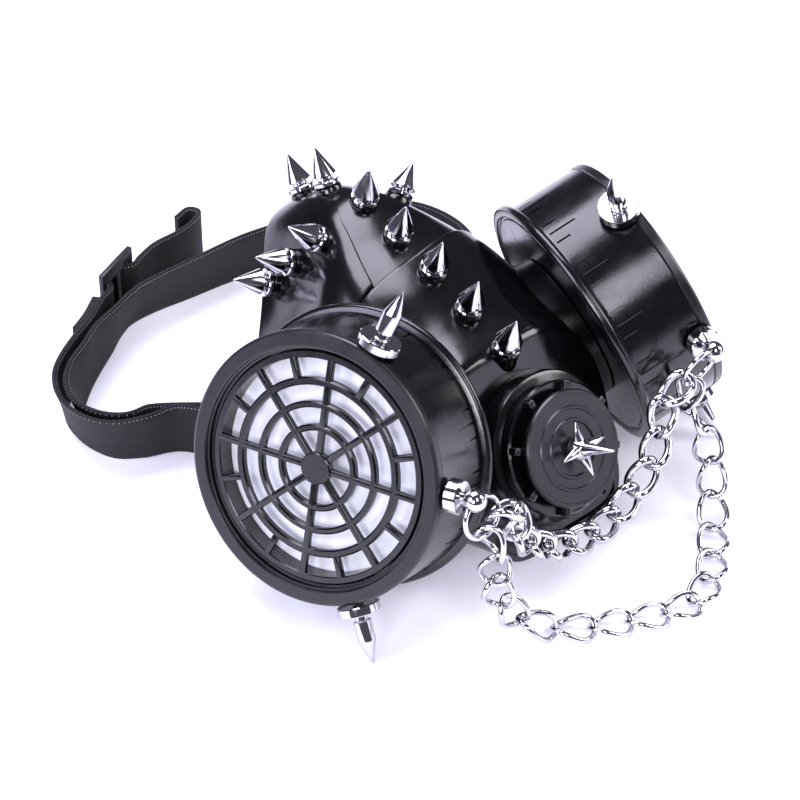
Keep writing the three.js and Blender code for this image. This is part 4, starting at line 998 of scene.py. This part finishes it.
def valve():
    flange_top = SEAT_GAP + FLANGE_HEIGHT
    flange = lathe("valve_collar", [
        (0, SEAT_GAP), (FLANGE_RADIUS, SEAT_GAP), (FLANGE_RADIUS, flange_top - 1.4),
        (FLANGE_RADIUS - 0.4, flange_top - 0.4),
        (FLANGE_RADIUS - 1.4, flange_top), (0, flange_top)], VINYL, 128)
    dressed(moved(flange, VALVE_FRAME), "vinyl_black", "valve_flange")

    cage_foot = flange_top + SEAT_GAP
    cage_top = cage_foot + CAGE_HEIGHT
    ring_top = cage_foot + CAGE_RING
    parts = [
        lathe("cage ring", [(0, cage_foot), (CAGE_RADIUS, cage_foot), (CAGE_RADIUS, ring_top - 0.6),
                            (CAGE_RADIUS - 0.6, ring_top), (0, ring_top)], CANISTER_ABS, 128),
        lathe("cage drum", [(0, cage_foot + 0.2), (CAGE_INNER, cage_foot + 0.2), (CAGE_INNER, cage_top),
                            (0, cage_top)],
              CANISTER_ABS, 128),
    ]
    rib = box_object("rib", (CAGE_INNER - 1, -CAGE_RIB_WIDTH / 2, cage_foot + 0.3),
                     (CAGE_RADIUS - 0.1, CAGE_RIB_WIDTH / 2, cage_top - 0.05), CANISTER_ABS, 0.5)
    ribs = mesh_object("ribs", [(0, 0, 0)], [], CANISTER_ABS)
    grown(ribs, round_tree(CANISTER_ABS), {"Piece": rib, "Count": CAGE_RIBS, "Start": math.pi / CAGE_RIBS})
    bpy.data.objects.remove(rib)
    cage = merged("valve_cage_ribbed", [*parts, ribs])
    dressed(moved(cage, VALVE_FRAME), "canister_black", "valve_cage")

    cover_foot = cage_top + SEAT_GAP
    cover_top = cover_foot + COVER_HEIGHT
    cover = lathe("valve_cap", [
        (0, cover_foot), (COVER_RADIUS - 0.3, cover_foot), (COVER_RADIUS, cover_foot + 0.4),
        (COVER_RADIUS, cover_top - 0.8), (COVER_RADIUS - 0.4, cover_top - 0.2),
        (COVER_RADIUS - 1.3, cover_top - 0.2),
        (COVER_RADIUS - 1.5, cover_top - 0.4),
        (COVER_STEP + 0.7, cover_top - 0.4), (COVER_STEP + 0.4, cover_top), (COVER_STEP - 0.3, cover_top),
        (COVER_STEP - 0.6, cover_top - 0.4), (COVER_DISH + 0.7, cover_top - 0.4),
        (COVER_DISH + 0.4, cover_top),
        (COVER_DISH - 0.3, cover_top), (COVER_DISH - 0.7, cover_top - 0.75), (0, cover_top - 0.8)],
        BEZEL_ABS, 160, degrees=18)
    dressed(moved(cover, VALVE_FRAME), "canister_black", "valve_cover")

    star_foot = cover_top - 0.8 + SEAT_GAP
    hub_top = star_foot + 1.7 * STAR_HUB
    prongs = [lathe("prong", [
        (0, star_foot), (2.6, star_foot), (3.4, star_foot + 0.6), (3.9, star_foot + 1.8),
        (3.9, star_foot + 3.2),
        (3.4, star_foot + 4.5), (2.6, hub_top), (2.1, hub_top + 0.9),
        (0.35, star_foot + STAR_REACH - 0.5), (0, star_foot + STAR_REACH)], CHROME, 32)]
    for i in range(4):
        out = (math.cos(i * math.pi / 2), math.sin(i * math.pi / 2), STAR_ARM_LEAN)
        arm = lathe("arm", [(0, 0), (STAR_ARM_RADIUS, 0), (STAR_ARM_RADIUS, STAR_HUB - 0.4),
                            (0.3, STAR_ARM - 0.4),
                            (0, STAR_ARM)], CHROME, 24)
        prongs.append(moved(arm, aimed((0, 0, star_foot + 0.85 * STAR_HUB), out, Z_AXIS)))
    dressed(moved(merged("valve_star_prongs", prongs), VALVE_FRAME), "chrome", "valve_star")


# Strap

def bar_turn(side, start, end):
    """Route rows round a tab's upright bar between two angles."""
    radius = math.hypot(TAB_BAR, TAB_THICKNESS) / 2 + SEAT_GAP + STRAP_THICKNESS / 2
    along = Vector((TAB_END[0] - TAB_START[0], TAB_END[1] - TAB_START[1], 0)).normalized()
    centre = Vector((*TAB_END, 0)) - along * TAB_BAR / 2
    steps = round(abs(end - start) / 40)
    angles = [math.radians(start + (end - start) * i / steps) for i in range(steps + 1)]
    return [(side * (centre.x + radius * math.cos(a)), centre.y + radius * math.sin(a), 0) for a in angles]


def slide_point(along, outward):
    turn = math.radians(SLIDE_TURN)
    return (SLIDE_START[0] + along * math.cos(turn) - outward * math.sin(turn),
            SLIDE_START[1] + along * math.sin(turn) + outward * math.cos(turn), 0)


def strap_rows(rows):
    return [(x, TAB_END[1] + behind, lean) for x, behind, lean in rows]


def strap_route():
    middle = SLIDE_EDGE + SLIDE_SLOT + SLIDE_BAR / 2
    length = 2 * (SLIDE_EDGE + SLIDE_SLOT) + SLIDE_BAR
    weave = [slide_point(-3, -SLIDE_WEAVE), slide_point(SLIDE_EDGE, -SLIDE_WEAVE),
             slide_point(middle - SLIDE_BAR, SLIDE_WEAVE), slide_point(middle + SLIDE_BAR, SLIDE_WEAVE),
             slide_point(length - SLIDE_EDGE, -SLIDE_WEAVE), slide_point(length + 3, -SLIDE_WEAVE)]
    return [*bar_turn(1, 340, 70), *strap_rows(STRAP_INNER), *bar_turn(-1, 100, 350),
            *strap_rows(STRAP_OUTER),
            *weave, *strap_rows(STRAP_TAIL)]


def ribbon(name, route, thickness, step, material):
    """A band that stands on its lower edge along a route, with its length and height kept as a UV map in
    millimetres."""
    length = even_shares([(x, y, 0) for x, y, lean in route], 1, BAND_DIVISIONS)[1]
    count = max(8, round(length / step))
    line = rounded_path(route, even_shares([(x, y, 0) for x, y, lean in route], count, BAND_DIVISIONS)[0])
    leans = line[:, 2]
    tangent = np.gradient(line[:, :2], axis=0)
    tangent /= np.linalg.norm(tangent, axis=1, keepdims=True)
    side = np.column_stack([-tangent[:, 1], tangent[:, 0]])
    half = thickness / 2
    soft = 0.45
    levels = np.linspace(soft, STRAP_WIDTH - soft, 8)
    section = [(half, z) for z in levels] + [(half - soft, STRAP_WIDTH), (-half + soft, STRAP_WIDTH)]
    section += [(-half, z) for z in levels[::-1]] + [(-half + soft, 0), (half - soft, 0)]
    size = len(section)
    points = []
    for i in range(count + 1):
        low = min(STRAP_SLOT_RISE, max(0.0, (TAB_END[1] + 20 - line[i, 1]) / 18 * STRAP_SLOT_RISE))
        for out, z in section:
            height = low + z * (STRAP_WIDTH - low) / STRAP_WIDTH
            reach = out + leans[i] * height / STRAP_WIDTH
            points.append((line[i, 0] + side[i, 0] * reach, line[i, 1] + side[i, 1] * reach, height))
    faces = [(i * size + j, i * size + (j + 1) % size, (i + 1) * size + (j + 1) % size, (i + 1) * size + j)
             for i in range(count) for j in range(size)]
    faces += [tuple(range(size)), tuple(range(count * size, (count + 1) * size))]
    obj = mesh_object(name, points, faces, material)
    run = np.linspace(0, length, count + 1)
    band = obj.data.uv_layers.new(name="band")
    for polygon in obj.data.polygons:
        for loop in polygon.loop_indices:
            vertex = obj.data.loops[loop].vertex_index
            band.data[loop].uv = (run[vertex // size], section[vertex % size][1])
    recalculated(obj)
    return crisp(obj, 50), line, side, length


def strap():
    band, line, side, length = ribbon("elastic_strap", strap_route(), STRAP_THICKNESS, BAND_STEP, ELASTIC)
    flap = ribbon("flap", strap_rows(STRAP_FLAP), FLAP_THICKNESS, BAND_STEP, ELASTIC)[0]
    whole = dressed(merged("elastic_strap", [band, flap]), "strap_black", "strap_band")
    stitch = lathe("stitch", [(0, -0.26), (0.16, -0.16), (0.2, 0), (0.16, 0.16), (0, 0.26)], THREAD, 6)
    height = STRAP_WIDTH - 0.75
    frames = []
    for i in range(len(line)):
        run = Vector((side[i, 1], -side[i, 0], 0))
        for way in (1, -1):
            out = way * STRAP_THICKNESS / 2 + line[i, 2] * height / STRAP_WIDTH
            frames.append(aimed((line[i, 0] + side[i, 0] * out, line[i, 1] + side[i, 1] * out, height), run,
                                Z_AXIS))
    edge = point_cloud("strap_edge_stitches", frames)
    grown(edge, copies_tree(THREAD), {"Piece": stitch})
    bpy.data.objects.remove(stitch)
    dressed(edge, "strap_black")


def slide():
    """The moulded slide with its two slots."""
    length = 2 * (SLIDE_EDGE + SLIDE_SLOT) + SLIDE_BAR
    plate = box_object("strap_slide_frame", (0, -SLIDE_THICKNESS / 2, 0.1),
                       (length, SLIDE_THICKNESS / 2, SLIDE_HEIGHT),
                       NYLON)
    for start in (SLIDE_EDGE, SLIDE_EDGE + SLIDE_SLOT + SLIDE_BAR):
        slot = box_object("slot", (start, -SLIDE_THICKNESS, -2), (start + SLIDE_SLOT, SLIDE_THICKNESS,
                                                                  STRAP_WIDTH + SEAT_GAP), NYLON)
        without(plate, slot)
    rounded(plate, 0.4)
    moved(plate, Matrix.Translation((*SLIDE_START, 0)) @ Matrix.Rotation(math.radians(SLIDE_TURN), 4, "Z"))
    dressed(plate, "buckle_black", "strap_slide")


# Scene

def scene_floor():
    floor_paint, tree, shader = new_finish("pale paper sweep", "#f3f3f9", **{"Roughness": 0.75})
    shader.inputs["Emission Color"].default_value = linear("#eceaff")
    shader.inputs["Emission Strength"].default_value = 0.3
    half = 4.0
    mesh = bpy.data.meshes.new("floor")
    mesh.from_pydata([(-half, -half, 0), (half, -half, 0), (half, half, 0), (-half, half, 0)], [],
                     [(0, 1, 2, 3)])
    mesh.materials.append(floor_paint)
    floor = bpy.data.objects.new("floor", mesh)
    bpy.context.scene.collection.objects.link(floor)


def area_light(name, place, target, size, power, hex_colour):
    light = bpy.data.lights.new(name, "AREA")
    light.shape = "RECTANGLE"
    light.size, light.size_y = size
    light.energy = power
    light.color = linear(hex_colour)[:3]
    obj = bpy.data.objects.new(name, light)
    bpy.context.scene.collection.objects.link(obj)
    direction = Vector(target) - Vector(place)
    obj.rotation_euler = direction.to_track_quat("-Z", "Y").to_euler()
    obj.location = place


def studio():
    scene = bpy.context.scene
    scene.view_settings.view_transform = "Standard"
    world = bpy.data.worlds.new("studio")
    scene.world = world
    world.use_nodes = True
    world.node_tree.nodes["Background"].inputs["Color"].default_value = linear("#d6d6f0")
    world.node_tree.nodes["Background"].inputs["Strength"].default_value = 0.16
    middle = (0, 0, 0.04)
    area_light("overhead softbox", (0.15, 0.45, 1.1), middle, (1.0, 0.8), 22, "#eeecff")
    area_light("left softbox", (-1.1, 0.35, 0.7), middle, (0.7, 0.7), 12, "#e4e3ff")
    area_light("right softbox", (0.9, -0.7, 0.8), middle, (0.5, 0.7), 9, "#ffffff")
    area_light("front fill", (-1.0, -0.45, 0.55), (-0.07, -0.03, 0.05), (0.4, 0.4), 7.5, "#f4f3ff")
    area_light("strip over the camera", (-0.26, -0.75, 0.9), (0.09, -0.03, 0.06), (0.28, 0.5), 4, "#f0efff")
    area_light("low front softbox", (0.62, -1.0, 0.24), middle, (0.5, 0.35), 1.1, "#e9e7ff")


def camera():
    data = bpy.data.cameras.new("camera")
    data.lens = 112.5
    data.sensor_width = 36
    data.clip_start, data.clip_end = 0.05, 20
    obj = bpy.data.objects.new("camera", data)
    bpy.context.scene.collection.objects.link(obj)
    right = Vector((0.7296, -0.6839, 0.0063)).normalized()
    forward = Vector((0.5365, 0.5665, -0.6255)).normalized()
    up = right.cross(forward).normalized()
    right = forward.cross(up)
    matrix = Matrix((right, up, -forward)).transposed().to_4x4()
    matrix.translation = (Vector((-438.0, -430.81, 526.8)) + Vector(PART_ORIGIN)) / 1000
    obj.matrix_world = matrix
    bpy.context.scene.camera = obj


camera()
studio()
scene_floor()
facepiece()
strap_tabs()
tree_spikes()
bullet_spikes()
ring_studs()
chain("short_chain", SHORT_CHAIN, SHORT_ROUTE)
chain("long_chain", LONG_CHAIN, LONG_ROUTE)
canisters()
valve()
strap()
slide()
